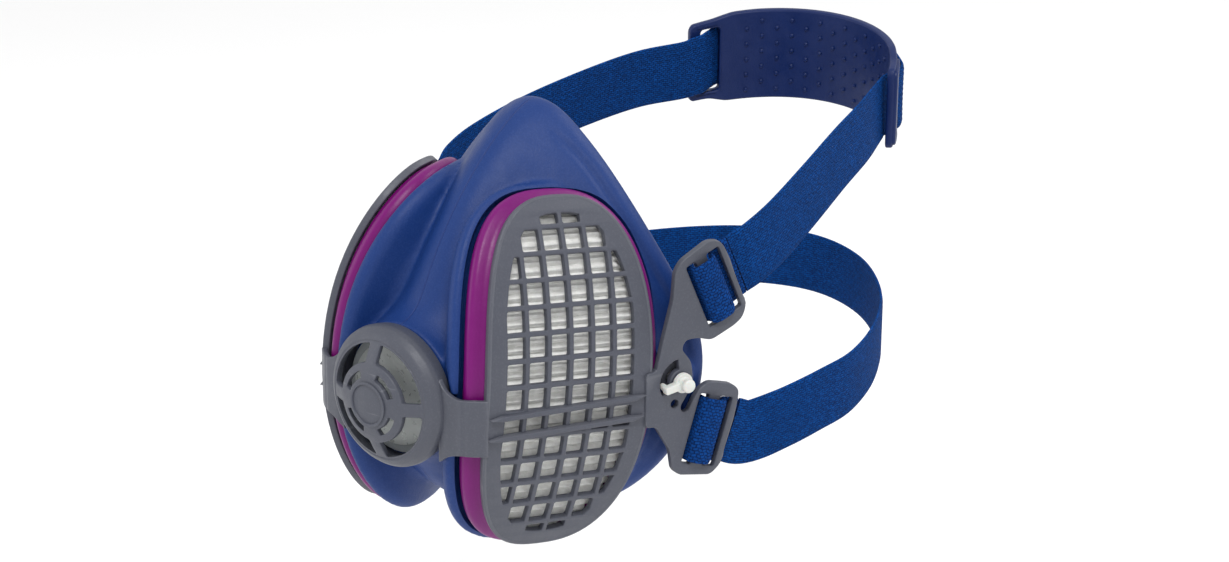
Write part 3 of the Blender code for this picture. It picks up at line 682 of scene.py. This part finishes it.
def filter_rim():
    """A fat bead round the filter, with a hollow neck under the cover's edge."""
    neck = [(-3.4, RIM_TOP), (-0.9, RIM_TOP), (-0.3, RIM_TOP - 0.5), (0.5, RIM_TOP - 1.0),
            (1.7, RIM_TOP - 1.3), (3.0, RIM_TOP - 1.7)]
    bead = [(RIM_BULGE - 0.2, RIM_TOP - 2.6), (RIM_BULGE, RIM_TOP - 3.8), (RIM_BULGE - 0.2, RIM_TOP - 5.0),
            (3.2, RIM_TOP - 6.2), (2.3, PAN_STEP + 0.9)]
    profile = [*neck, *bead, (2.1, RIM_FOOT), (-3.4, RIM_FOOT)]
    return moved(bend(oval_ring(rounded_profile(profile, 0.6, 3))), filter_frame())


PLEAT = 2.55  # spacing of the media's pleats
PLEAT_DEPTH = 1.5


def filter_media():
    """A pleated face on a plain back: rows run across the oval, three to a window."""
    bm = bmesh.new()
    half = OVAL_H - 3.8
    rows = int(2 * half / (PLEAT / 6))
    columns = 14
    grids = []
    for top in (True, False):
        grid = []
        for r in range(rows + 1):
            y = -half + 2 * half * r / rows
            reach = (OVAL_W - 3.8) * (1 - min(abs(y) / half, 0.9999) ** OVAL_POWER) ** (1 / OVAL_POWER)
            fold = 0.5 + 0.5 * math.cos(2 * math.pi * y / PLEAT)
            line = []
            for c in range(columns + 1):
                share = 2 * c / columns - 1
                ripple = 0.1 * math.sin(2.1 * share * columns + 0.7 * math.sin(y))
                z = RIM_TOP - 0.5 - PLEAT_DEPTH * (1 - fold**0.7) + ripple if top else RIM_FOOT + 0.2
                line.append(bm.verts.new((share * reach, y, z)))
            grid.append(line)
        grids.append(grid)
    for grid, flip in zip(grids, (False, True)):
        for low, high in zip(grid, grid[1:]):
            for c in range(columns):
                corners = [low[c], low[c + 1], high[c + 1], high[c]]
                bm.faces.new(reversed(corners) if flip else corners)
    top, bottom = grids
    edges = [[line[0] for line in top], [line[-1] for line in top]]
    backs = [[line[0] for line in bottom], [line[-1] for line in bottom]]
    for edge, back in zip(edges, backs):
        for i in range(rows):
            bm.faces.new((edge[i], edge[i + 1], back[i + 1], back[i]))
    for r in (0, rows):
        for c in range(columns):
            bm.faces.new((top[r][c], top[r][c + 1], bottom[r][c + 1], bottom[r][c]))
    bmesh.ops.recalc_face_normals(bm, faces=bm.faces)
    return moved(bend(bm, 400), filter_frame())


def filter_base():
    base = bend(plate(oval(0.8), [], BASE_FOOT, BASE_TOP, 0.4))
    spigot = ring_body([(SPIGOT, -19), (SPIGOT, -12), (9.0, -12), (9.0, -19)], 0.4)
    return moved(merged(base, spigot), filter_frame())


def spigot_seal():
    section = [(13.3, -16.7), (13.3, -14.7), (SEAT_BORE, -14.7), (SEAT_BORE, -16.7)]
    return moved(ring_body(section, 0.8), filter_frame())


def inhalation_seat():
    wall = [(SEAT_OUTER, -14.4), (SEAT_OUTER, -20.4), (9.7, -20.4), (9.7, -19.5), (SEAT_BORE, -19.4),
            (SEAT_BORE, -17.0), (13.6, -17.0), (13.6, -14.4)]
    stem = [(0, -19.4), (3, -19.4), (3, -20.6), (1.5, -20.6), (1.5, -23.4), (2.6, -23.4), (2.6, -24.2),
            (0, -24.2)]
    parts = [ring_body(wall, 0.25), turned(stem)]
    for i in range(4):
        spoke = box(1.5, 10.4, -0.8, 0.8, -20.4, -19.5)
        parts.append(moved(spoke, Matrix.Rotation(math.radians(90 * i), 4, "Z")))
    return moved(merged(*parts), filter_frame())


def inhalation_flap():
    return moved(ring_body([(1.9, -20.9), (12.8, -21.0), (12.8, -21.3), (1.9, -21.5)], 0.1), filter_frame())


# ---- hinged wings

YOKE_OUTLINE = (
    (-3, 4), (0.5, 4), (3, 14), (6, 25), (6.6, 33.5), (8.8, 36.6), (17.6, 41.2), (21.4, 40.8), (23.4, 38.6),
    (31.6, 19.4), (30.4, 15.6), (27.6, 13.6), (19.5, 10.4), (14.5, 12), (10.5, 12), (9.2, 9.5), (12.6, 5),
    (13.2, 0), (12, -4), (9, -8.5), (9.8, -10.4), (11.6, -10.2), (15.5, -4), (19, -2.4), (27, -4.6),
    (29.6, -7), (29.4, -10), (23.5, -29.5), (20, -32.2), (9, -30), (6.6, -28), (5.6, -21.5), (0.5, -13),
    (-3, -13),
)


BAND_ROUTE = ((18.9, 4.2), (21.2, 3.9), (24.1, 4.3), (26.6, 4.9), (28.2, 5.8), (30.6, 7.5), (33.0, 9.6))


def hinge_band():
    """From the valve cover's flank over the filter's front edge, flared where it leaves the ring."""
    plan = [Vector(p) for p in BAND_ROUTE]
    plan = smooth_path(plan, 5)
    bm = bmesh.new()
    rings = []
    for i, point in enumerate(plan):
        ahead = (plan[min(i + 1, len(plan) - 1)] - plan[max(i - 1, 0)]).normalized()
        inward = Vector((-ahead.y, ahead.x))
        flare = max(0.0, 1 - (point.x - plan[0].x) / 8.0) ** 2
        high, low = BAND_HIGH + 4.6 * flare, BAND_LOW - 3.4 * flare
        section = rounded_profile([(0, low), (0, high), (BAND_THICK, high), (BAND_THICK, low)], 0.45, 3)
        crease = 0.25 * math.exp(-(((point - Vector((27.2, 5.2))).length / 0.7) ** 2))
        ring = []
        for depth, z in section:
            place = point + inward * (depth + crease * (depth < 1))
            ring.append(bm.verts.new((*place, z)))
        rings.append(ring)
    count = len(rings[0])
    for ring, following in zip(rings, rings[1:]):
        for i in range(count):
            j = (i + 1) % count
            bm.faces.new((ring[i], ring[j], following[j], following[i]))
    bm.faces.new(rings[0])
    bm.faces.new(rings[-1])
    bmesh.ops.recalc_face_normals(bm, faces=bm.faces)
    return bm


def strap_window(bar, side):
    near, far = sorted((side * BAR_HALF, WINDOW_AFT if side > 0 else -WINDOW_FORE))
    half = WINDOW_LENGTH / 2
    corners = [(near, -half), (far, -half), (far, half), (near, half)]
    matrix = yoke_frame().inverted() @ bar_frame(bar)
    return [tuple((matrix @ Vector((x, y, 0))).xy) for x, y in rounded(corners, 0.9)]


def strap_yoke():
    start, end = PIN_NUB_ANGLE - PIN_TURN - 17, PIN_NUB_ANGLE + 17
    holes = [strap_window(bar, side) for bar in (UPPER_BAR, LOWER_BAR) for side in (-1, 1)]
    at = Vector(PIN_AT)
    slot = rounded(arc_slot(PIN_SLOT_RADIUS - 1.7, PIN_SLOT_RADIUS + 1.6, start, end), 0.6)
    holes.append([tuple(Vector(p) + at) for p in slot])
    holes.append([tuple(Vector(p) + at) for p in circle(PIN_RADIUS + 0.35, 32)])
    holes.append([tuple(Vector(p) + at + Vector((-2.0, -6.6))) for p in circle(1.3, 20)])
    outline = smooth_outline(rounded(YOKE_OUTLINE, 1.6, 3), 2)
    body = plate(outline, holes, -YOKE_THICK, 0, 0.4)
    return moved(body, yoke_frame())


def lock_pin():
    tip = [(0, 5.0), (1.5, 5.0), (1.85, 4.8), (2.05, 4.4), (2.05, 3.5), (1.9, 3.3), (1.9, 2.9), (2.05, 2.7),
           (2.1, 1.8)]
    collar = [(2.9, 1.8), (3.0, 1.6), (3.0, 0.45), (2.9, 0.35)]
    shank = [(PIN_RADIUS, 0.35), (PIN_RADIUS, -8.6), (1.4, -9.2), (0, -9.2)]
    parts = [turned([*tip, *collar, *shank], 40)]
    angle = math.radians(PIN_NUB_ANGLE)
    reach = PIN_SLOT_RADIUS + 1.3
    arm = plate(rounded([(1.0, -1.2), (reach, -1.1), (reach, 1.1), (1.0, 1.2)], 0.6), [], 0.4, 2.8, 0.35)
    parts.append(moved(arm, Matrix.Rotation(angle, 4, "Z")))
    nub_at = Matrix.Translation((PIN_SLOT_RADIUS * math.cos(angle), PIN_SLOT_RADIUS * math.sin(angle), 0))
    parts.append(moved(disc(1.0, -2.0, 1.4, 24, 0.2), nub_at))
    return moved(merged(*parts), pin_frame())


def pin_anchor():
    inside = PIN_RADIUS + 1.1
    profile = [(ANCHOR_RADIUS, -3.4), (ANCHOR_RADIUS, -10.5), (0, -10.5), (0, -9.9), (inside, -9.9),
               (inside, -3.4)]
    return moved(turned(profile), pin_frame())


# ---- straps and cradle

LOOP_PATH = ((-6.4, -3.3), (-4.4, -2.6), (-3.7, -1.0), (-3.5, 0.6), (-1.9, 1.7), (1.9, 1.7), (3.5, 0.6),
             (3.7, -1.0), (4.4, -2.6), (6.4, -3.3), (11.0, -3.5))
WEB_ROWS = 12  # ridges across the webbing


def webbing(path, ups):
    """An elastic strap along a path, ridged across its width, with its own width and length in mm as UV."""
    bm = bmesh.new()
    uv = bm.loops.layers.uv.new("weave")
    count = WEB_ROWS * 4
    section = []
    for k in range(count + 1):
        across = 2 * k / count - 1
        edge = (1 - abs(across) ** 14) ** 0.5
        ridge = 0.06 * math.cos(2 * math.pi * WEB_ROWS * (across + 1) / 2)
        section.append((across, (WEB_THICK / 2 - 0.05 + ridge * (abs(across) < 0.97)) * max(edge, 0.25)))
    loop = [(a, h) for a, h in section] + [(a, -h) for a, h in reversed(section)]
    rings, lengths = [], []
    travelled = 0.0
    for i, (point, up) in enumerate(zip(path, ups)):
        ahead = path[min(i + 1, len(path) - 1)] - path[max(i - 1, 0)]
        side = (up - ahead * up.dot(ahead) / ahead.length_squared).normalized()
        out = side.cross(ahead).normalized()
        rings.append([bm.verts.new(point + side * (a * WEB / 2) + out * h) for a, h in loop])
        travelled += (point - path[i - 1]).length if i else 0.0
        lengths.append(travelled)
    total = len(loop)
    for i in range(len(rings) - 1):
        for k in range(total):
            j = (k + 1) % total
            face = bm.faces.new((rings[i][k], rings[i][j], rings[i + 1][j], rings[i + 1][k]))
            for corner, (column, row) in zip(face.loops, ((k, i), (j, i), (j, i + 1), (k, i + 1))):
                corner[uv].uv = ((loop[column][0] + 1) * WEB / 2, lengths[row])
    for ring in (rings[0], rings[-1]):
        bm.faces.new(ring)
    bmesh.ops.recalc_face_normals(bm, faces=bm.faces)
    return bm, travelled


def strap_loop(bar):
    """The end of a strap, wrapped over its bar and doubled behind the yoke."""
    frame = bar_frame(bar)
    path = smooth_path([frame @ Vector((x, 0, z)) for x, z in LOOP_PATH], 5)
    up = frame.to_3x3() @ Vector((0, 1, 0))
    return webbing(path, [up] * len(path))


def strap_start(bar):
    frame = bar_frame(bar)
    return [frame @ Vector((x, 0, -3.5)) for x in (11.3, 18)], frame.to_3x3() @ Vector((0, 1, 0))


def around(path):
    """A path from the right yoke to the middle of the back, carried on to the left yoke."""
    return path + [Vector((-p.x, p.y, p.z)) for p in reversed(path[:-1])]


def turning_ups(count, start, middle=Vector((0, 0, 1)), over=0.3):
    """Width directions that turn from the yoke's to the middle's within a share of the path."""
    ups = []
    for i in range(count):
        share = i / (count - 1)
        near = min(share, 1 - share) / over
        blend = min(near, 1.0)
        end = start if share < 0.5 else Vector((-start.x, start.y, start.z))
        ups.append((end * (1 - blend) + middle * blend).normalized())
    return ups


def on_cradle(angle, lift):
    """A point at an angle from the back, a distance outside the cradle's middle surface."""
    turn = math.radians(angle)
    radius = CRADLE_RADIUS + lift
    point = CRADLE_CENTRE + Vector((radius * math.sin(turn), radius * math.cos(turn), 0))
    point.z = CRADLE_Z + CRADLE_SLOPE * (point.y - CRADLE_CENTRE.y - CRADLE_RADIUS)
    return point


def upper_strap():
    start, up = strap_start(UPPER_BAR)
    route = [(71, -3.4), (64, -3.1), (60, -2.4), (55.8, 0), (51.6, 2.4), (46, 3.0), (30, 3.0), (15, 3.0),
             (0, 3.0)]
    half = [*start, Vector((60.0, 107, 37.6)), Vector((56.4, 127, 43.0)), Vector((50.6, 150, 47.8)),
            Vector((45.4, 169, 50.6)), *(on_cradle(*stop) for stop in route)]
    path = smooth_path(around(half))
    return webbing(path, turning_ups(len(path), up))


def neck_strap():
    start, up = strap_start(LOWER_BAR)
    plan = ((67.0, 121), (66.5, 138), (59, 160), (45, 182), (24, 200), (0, 207))
    level = [Vector((x, y, NECK_Z + NECK_SLOPE * (y - 121))) for x, y in plan]
    half = [*start, Vector((64.0, 106, NECK_Z - 2.5)), *level]
    path = smooth_path(around(half))
    return webbing(path, turning_ups(len(path), up, over=0.2))


CRADLE_END = 51.0  # half length of the cradle along its bend
CRADLE_SLOT = (40.4, 47.2)
CRADLE_OUTLINE = (
    (-CRADLE_END, -11.5), (-50, -13), (-44, -13.2), (-38, -15), (38, -15), (44, -13.2), (50, -13),
    (CRADLE_END, -11.5), (CRADLE_END, 11.5), (50, 13), (43, 13.4), (36, 14.8), (28, 15), (-28, 15),
    (-36, 14.8), (-43, 13.4), (-50, 13), (-CRADLE_END, 11.5),
)
STUD_PITCH = 5.2


def head_cradle():
    near, far = CRADLE_SLOT
    holes = []
    for side in (-1, 1):
        a, b = side * near, side * far
        holes.append(rounded([(a, -10.8), (b, -10.8), (b, 10.8), (a, 10.8)], 1.2))
    body = plate(rounded(CRADLE_OUTLINE, 1.5), holes, -CRADLE_THICK / 2, CRADLE_THICK / 2, 0.6)
    frames = []
    for s in (-1, 1):
        outer = rounded([(s * 38.8, -12.4), (s * 50.6, -12.2), (s * 50.6, 12.2), (s * 38.8, 12.4)], 2.0)
        frames.append(plate(outer, [holes[(s + 1) // 2]], -CRADLE_THICK / 2, CRADLE_THICK / 2 + 0.9, 0.5))
    studs = []
    for column in range(-6, 7):
        for row in range(-2, 3):
            v = (row + (0.25 if column % 2 else -0.25)) * STUD_PITCH
            if abs(v) < 12.2:
                stud = disc(0.65, -CRADLE_THICK / 2 - 0.75, 0, 16, 0.35)
                studs.append(moved(stud, Matrix.Translation((column * STUD_PITCH, v, 0))))
    body = merged(body, *frames, *studs)
    sliced(body, (1, 0, 0), [1.8 * i for i in range(-28, 29)])
    for vert in body.verts:
        u, v, w = vert.co
        point = on_cradle(math.degrees(u / CRADLE_RADIUS), w)
        vert.co = (point.x, point.y, point.z + v)
    bmesh.ops.recalc_face_normals(body, faces=body.faces)
    return body


# ---- materials: object coordinates are the row's metres, so a scale of 1000 counts millimetres


class Shading:
    """A Principled material whose colour, roughness and bump are built up in steps."""

    def __init__(self, name, colour, roughness, **sockets):
        self.material = bpy.data.materials.new(name)
        self.material.use_nodes = True
        self.tree = self.material.node_tree
        self.shader = self.tree.nodes["Principled BSDF"]
        self.shader.inputs["Base Color"].default_value = (*colour, 1)
        self.shader.inputs["Roughness"].default_value = roughness
        for key, value in sockets.items():
            self.shader.inputs[key.replace("_", " ")].default_value = value
        self.colour = colour
        self.roughness = roughness
        self.place = self.add("ShaderNodeTexCoord").outputs["Object"]
        self.height = None

    def add(self, kind, inputs=(), **settings):
        node = self.tree.nodes.new(kind)
        for key, value in settings.items():
            setattr(node, key, value)
        for key, value in dict(inputs).items():
            if isinstance(value, bpy.types.NodeSocket):
                self.tree.links.new(value, node.inputs[key])
            else:
                node.inputs[key].default_value = value
        return node

    def math(self, operation, *values):
        return self.add("ShaderNodeMath", dict(enumerate(values)), operation=operation).outputs[0]

    def noise(self, size, detail=3.0, place=None):
        """Noise from 0 to 1 whose features are about this many millimetres wide."""
        inputs = {"Vector": place or self.place, "Scale": 1000 / size, "Detail": detail}
        return self.add("ShaderNodeTexNoise", inputs).outputs["Fac"]

    def ranged(self, value, low, high, to_low, to_high):
        inputs = {"Value": value, "From Min": low, "From Max": high, "To Min": to_low, "To Max": to_high}
        return self.add("ShaderNodeMapRange", inputs).outputs["Result"]

    def tint(self, factor, other):
        """Mixes the colour so far towards another by a factor."""
        before = self.shader.inputs["Base Color"]
        start = before.links[0].from_socket if before.links else (*self.colour, 1)
        mix = self.add("ShaderNodeMix", data_type="RGBA")
        self.feed(mix.inputs[6], start)
        self.feed(mix.inputs[7], (*other, 1))
        self.feed(mix.inputs[0], factor)
        self.tree.links.new(mix.outputs[2], before)

    def feed(self, socket, value):
        if isinstance(value, bpy.types.NodeSocket):
            self.tree.links.new(value, socket)
        else:
            socket.default_value = value

    def vary_roughness(self, factor, spread):
        value = self.ranged(factor, 0.3, 0.7, self.roughness - spread, self.roughness + spread)
        self.tree.links.new(value, self.shader.inputs["Roughness"])

    def raise_by(self, value, millimetres):
        """Adds to the height that the bump is made from."""
        step = self.math("MULTIPLY", value, millimetres)
        self.height = step if self.height is None else self.math("ADD", self.height, step)

    def finished(self, strength=1.0):
        if self.height is not None:
            inputs = {"Height": self.height, "Distance": 0.001, "Strength": strength}
            bump = self.add("ShaderNodeBump", inputs)
            self.tree.links.new(bump.outputs["Normal"], self.shader.inputs["Normal"])
        return self.material


def facepiece_silicone():
    s = Shading("facepiece_silicone", (0.006, 0.031, 0.150), 0.48, Specular_IOR_Level=0.25)
    s.tint(s.ranged(s.noise(26), 0.35, 0.7, 0.0, 0.35), (0.009, 0.038, 0.175))
    s.tint(s.ranged(s.noise(0.5, 1), 0.45, 0.75, 0.0, 0.22), (0.03, 0.07, 0.24))
    across = s.add("ShaderNodeSeparateXYZ", {"Vector": s.place}).outputs["X"]
    seam = s.ranged(s.math("ABSOLUTE", across), 0.00012, 0.00032, 1.0, 0.0)
    s.tint(s.math("MULTIPLY", seam, 0.75), (0.012, 0.03, 0.14))
    s.vary_roughness(s.noise(5), 0.05)
    s.raise_by(s.noise(0.35, 2), 0.10)
    s.raise_by(s.noise(3.0, 2), 0.10)
    s.raise_by(seam, -0.12)
    return s.finished(0.8)


def harness_grey():
    s = Shading("harness_grey", (0.062, 0.067, 0.088), 0.44, Specular_IOR_Level=0.4)
    s.tint(s.ranged(s.noise(14), 0.35, 0.7, 0.0, 0.3), (0.070, 0.075, 0.095))
    s.tint(s.ranged(s.noise(0.6, 1), 0.5, 0.8, 0.0, 0.25), (0.12, 0.125, 0.15))
    # Pointiness makes convex edges and bevels lighter: a painted highlight where the edges catch the light,
    # partly also edge wear
    edge = s.add("ShaderNodeNewGeometry").outputs["Pointiness"]
    s.tint(s.ranged(edge, 0.52, 0.62, 0.0, 0.35), (0.20, 0.205, 0.23))
    s.vary_roughness(s.noise(4), 0.06)
    s.raise_by(s.noise(0.3, 2), 0.07)
    s.raise_by(s.noise(2.2, 2), 0.05)
    return s.finished(0.8)


def filter_magenta():
    s = Shading("filter_magenta", (0.15, 0.002, 0.125), 0.36, Specular_IOR_Level=0.25)
    s.tint(s.ranged(s.noise(9), 0.35, 0.7, 0.0, 0.35), (0.16, 0.004, 0.135))
    s.tint(s.ranged(s.noise(0.7, 1), 0.5, 0.8, 0.0, 0.15), (0.22, 0.015, 0.19))
    s.vary_roughness(s.noise(3), 0.05)
    s.raise_by(s.noise(0.5, 2), 0.04)
    s.raise_by(s.noise(4.0, 2), 0.08)
    return s.finished(0.7)


def filter_media_cloth():
    s = Shading("filter_media", (0.92, 0.92, 0.90), 0.95)
    s.tint(s.ranged(s.noise(2.4, 4), 0.40, 0.66, 0.0, 0.45), (0.62, 0.62, 0.59))
    s.tint(s.ranged(s.noise(0.35, 4), 0.45, 0.7, 0.0, 0.3), (0.72, 0.72, 0.70))
    s.raise_by(s.noise(1.2, 5), 0.35)
    s.raise_by(s.noise(0.25, 3), 0.10)
    return s.finished(1.0)


def moulded(name, colour, roughness, grain=0.05, **sockets):
    """A plain moulding with a faint grain and slight variation."""
    s = Shading(name, colour, roughness, **sockets)
    lighter = tuple(min(1.0, c * 1.25 + 0.01) for c in colour)
    s.tint(s.ranged(s.noise(8), 0.35, 0.7, 0.0, 0.4), lighter)
    s.vary_roughness(s.noise(3), min(0.05, roughness * 0.4))
    s.raise_by(s.noise(0.4, 2), grain)
    s.raise_by(s.noise(3.0, 2), grain)
    return s.finished(0.8)


def elastic(name, long, wide, dark, light):
    """Knitted webbing: long and wide are the stitch's length and width in millimetres."""
    s = Shading(name, light, 0.9, Specular_IOR_Level=0.1)
    uv = s.add("ShaderNodeUVMap", uv_map="weave").outputs["UV"]
    parts = s.add("ShaderNodeSeparateXYZ", {"Vector": uv})
    across, along = parts.outputs["X"], parts.outputs["Y"]
    wave = s.math("SINE", s.math("MULTIPLY", along, 2 * math.pi / (2 * long)))
    sway = s.math("MULTIPLY", wave, 0.18 * wide)
    place = s.add("ShaderNodeCombineXYZ", {"X": along, "Y": s.math("ADD", across, sway)}).outputs["Vector"]
    inputs = {
        "Vector": place, "Scale": 1.0, "Mortar Size": 0.16 * wide, "Mortar Smooth": 0.8, "Brick Width": long,
        "Row Height": wide, "Color1": (*light, 1), "Color2": (*[c * 1.5 for c in light], 1),
        "Mortar": (*dark, 1),
    }
    brick = s.add("ShaderNodeTexBrick", inputs, offset=0.5)
    s.tree.links.new(brick.outputs["Color"], s.shader.inputs["Base Color"])
    fleck = s.noise(0.9, 2)
    s.tint(s.ranged(fleck, 0.50, 0.72, 0.0, 0.5), tuple(c * 1.9 for c in light))
    s.tint(s.ranged(fleck, 0.28, 0.45, 0.5, 0.0), dark)
    s.tint(s.ranged(s.noise(16), 0.35, 0.65, 0.0, 0.3), tuple(c * 0.7 for c in light))
    s.raise_by(brick.outputs["Fac"], -0.22)
    s.raise_by(s.noise(0.3, 3), 0.10)
    return s.finished(1.0)


def make_materials():
    blue_dark, blue_light = (0.001, 0.008, 0.045), (0.001, 0.036, 0.165)
    return {
        "facepiece_silicone": facepiece_silicone(),
        "harness_grey": harness_grey(),
        "filter_magenta": filter_magenta(),
        "filter_media": filter_media_cloth(),
        "filter_white": moulded("filter_white", (0.75, 0.75, 0.73), 0.5),
        "clear_polycarbonate": moulded(
            "clear_polycarbonate", (0.62, 0.66, 0.68), 0.18, 0.02, Transmission_Weight=0.45, IOR=1.58
        ),
        "flap_silicone": moulded(
            "flap_silicone", (0.60, 0.63, 0.62), 0.30, 0.03, Transmission_Weight=0.35, IOR=1.41
        ),
        "pin_nylon": moulded(
            "pin_nylon", (0.62, 0.63, 0.60), 0.42, 0.04, Subsurface_Weight=0.1, Subsurface_Scale=0.002
        ),
        "strap_elastic": elastic("strap_elastic", 1.5, 0.75, blue_dark, blue_light),
        "strap_loop_knit": elastic("strap_loop_knit", 1.3, 0.95, (0.001, 0.007, 0.040), (0.002, 0.036, 0.17)),
        "cradle_plastic": moulded(
            "cradle_plastic", (0.002, 0.013, 0.080), 0.42, 0.07, Specular_IOR_Level=0.25
        ),
        "seal_rubber": moulded("seal_rubber", (0.03, 0.03, 0.035), 0.6),
    }


# ---- assembly


def finish_mesh(bm, name, mirror, angle):
    matrix = to_row()
    if mirror:
        matrix = matrix @ MIRROR
    moved(bm, matrix)
    mesh = bpy.data.meshes.new(name)
    bm.to_mesh(mesh)
    bm.free()
    mesh.shade_smooth()
    mesh.set_sharp_from_angle(angle=math.radians(angle))
    obj = bpy.data.objects.new(name, mesh)
    bpy.context.scene.collection.objects.link(obj)
    return obj


# name, maker, slot, body
CENTRE_PIECES = (
    ("facepiece", facepiece, "facepiece_silicone", "mask"),
    ("valve_cover", valve_cover, "harness_grey", "mask"),
    ("exhalation_valve_seat", exhalation_valve_seat, "clear_polycarbonate", "mask"),
    ("exhalation_flap", exhalation_flap, "flap_silicone", "exhalation_valve"),
    ("upper_strap", upper_strap, "strap_elastic", "mask"),
    ("neck_strap", neck_strap, "strap_elastic", "mask"),
    ("head_cradle", head_cradle, "cradle_plastic", "mask"),
)
SIDE_PIECES = (
    ("inhalation_seat", inhalation_seat, "clear_polycarbonate", "mask"),
    ("pin_anchor", pin_anchor, "harness_grey", "mask"),
    ("inhalation_flap", inhalation_flap, "flap_silicone", "inhalation_valve_{}"),
    ("filter_rim", filter_rim, "filter_magenta", "filter_{}"),
    ("filter_media", filter_media, "filter_media", "filter_{}"),
    ("filter_base", filter_base, "filter_white", "filter_{}"),
    ("spigot_seal", spigot_seal, "seal_rubber", "filter_{}"),
    ("hinge_band", hinge_band, "harness_grey", "wing_{}"),
    ("grid_cover", grid_cover, "harness_grey", "wing_{}"),
    ("strap_yoke", strap_yoke, "harness_grey", "wing_{}"),
    ("upper_strap_loop", lambda: strap_loop(UPPER_BAR), "strap_elastic", "wing_{}"),
    ("neck_strap_loop", lambda: strap_loop(LOWER_BAR), "strap_elastic", "wing_{}"),
    ("lock_pin", lock_pin, "pin_nylon", "pin_{}"),
)


def place(made, node, slot, body, materials, mirror=False):
    """Turns what a maker gave into the visible piece that stands for a CAD node."""
    bm, length = made if isinstance(made, tuple) else (made, 0.0)
    piece = finish_mesh(bm, f"{node}_look", mirror, 60 if slot == "strap_elastic" else 38)
    look = "strap_loop_knit" if "strap_loop" in node else slot
    piece.data.materials.append(materials[look])
    if node.startswith("hinge_band"):
        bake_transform(piece)
    else:
        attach(piece, body)
    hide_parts(node)
    return piece


def add_pieces(materials):
    for node, make, slot, body in CENTRE_PIECES:
        place(make(), node, slot, body, materials)
    for side, mirror in (("right", False), ("left", True)):
        for name, make, slot, body in SIDE_PIECES:
            place(make(), f"{name}_{side}", slot, body.format(side), materials, mirror)


def add_camera():
    azimuth, elevation, roll = (math.radians(a) for a in (CAMERA_AZIMUTH, CAMERA_ELEVATION, CAMERA_ROLL))
    flat = math.cos(elevation)
    back = Vector((math.sin(azimuth) * flat, -math.cos(azimuth) * flat, math.sin(elevation)))
    level = Vector((math.cos(azimuth), math.sin(azimuth), 0))
    upright = back.cross(level)
    right = level * math.cos(roll) + upright * math.sin(roll)
    up = upright * math.cos(roll) - level * math.sin(roll)
    data = bpy.data.cameras.new("camera")
    data.lens = CAMERA_LENS
    data.clip_start, data.clip_end = 0.05, 20
    camera = bpy.data.objects.new("camera", data)
    matrix = Matrix((right, up, back)).transposed().to_4x4()
    matrix.translation = CAMERA_PLACE
    camera.matrix_world = matrix
    bpy.context.scene.collection.objects.link(camera)
    bpy.context.scene.camera = camera


def area_light(name, place, size, power):
    """A round soft light that faces the origin."""
    data = bpy.data.lights.new(name, "AREA")
    data.shape = "DISK"
    data.size = size
    data.energy = power
    light = bpy.data.objects.new(name, data)
    light.location = place
    light.rotation_euler = (-Vector(place)).to_track_quat("-Z", "Y").to_euler()
    bpy.context.scene.collection.objects.link(light)


def add_studio(low):
    """A pale floor well below the mask, a bright even world and three soft lights."""
    floor = object_of(box(-6, 6, -6, 6, -0.02, 0), "floor")
    floor.location.z = low.z - FLOOR_DROP
    paint = Shading("floor_paint", (0.93, 0.93, 0.93), 0.9)
    paint.tint(paint.ranged(paint.noise(120), 0.3, 0.7, 0.0, 0.2), (0.90, 0.90, 0.90))
    floor.data.materials.append(paint.finished())
    world = bpy.data.worlds.new("studio")
    world.use_nodes = True
    background = world.node_tree.nodes["Background"]
    background.inputs["Color"].default_value = (1.0, 1.0, 1.0, 1)
    background.inputs["Strength"].default_value = 0.80
    bpy.context.scene.world = world
    bpy.context.scene.view_settings.view_transform = "Standard"
    area_light("key", (0.55, -0.5, 1.2), 0.5, 11)
    area_light("fill", (-1.0, -0.9, 0.4), 0.9, 3)
    area_light("rim", (0.4, 0.9, 0.8), 0.6, 4)


def main():
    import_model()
    cad_low, cad_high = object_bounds()
    add_camera()
    add_pieces(make_materials())
    add_studio(cad_low)


for startup in list(bpy.data.objects):
    bpy.data.objects.remove(startup)
main()
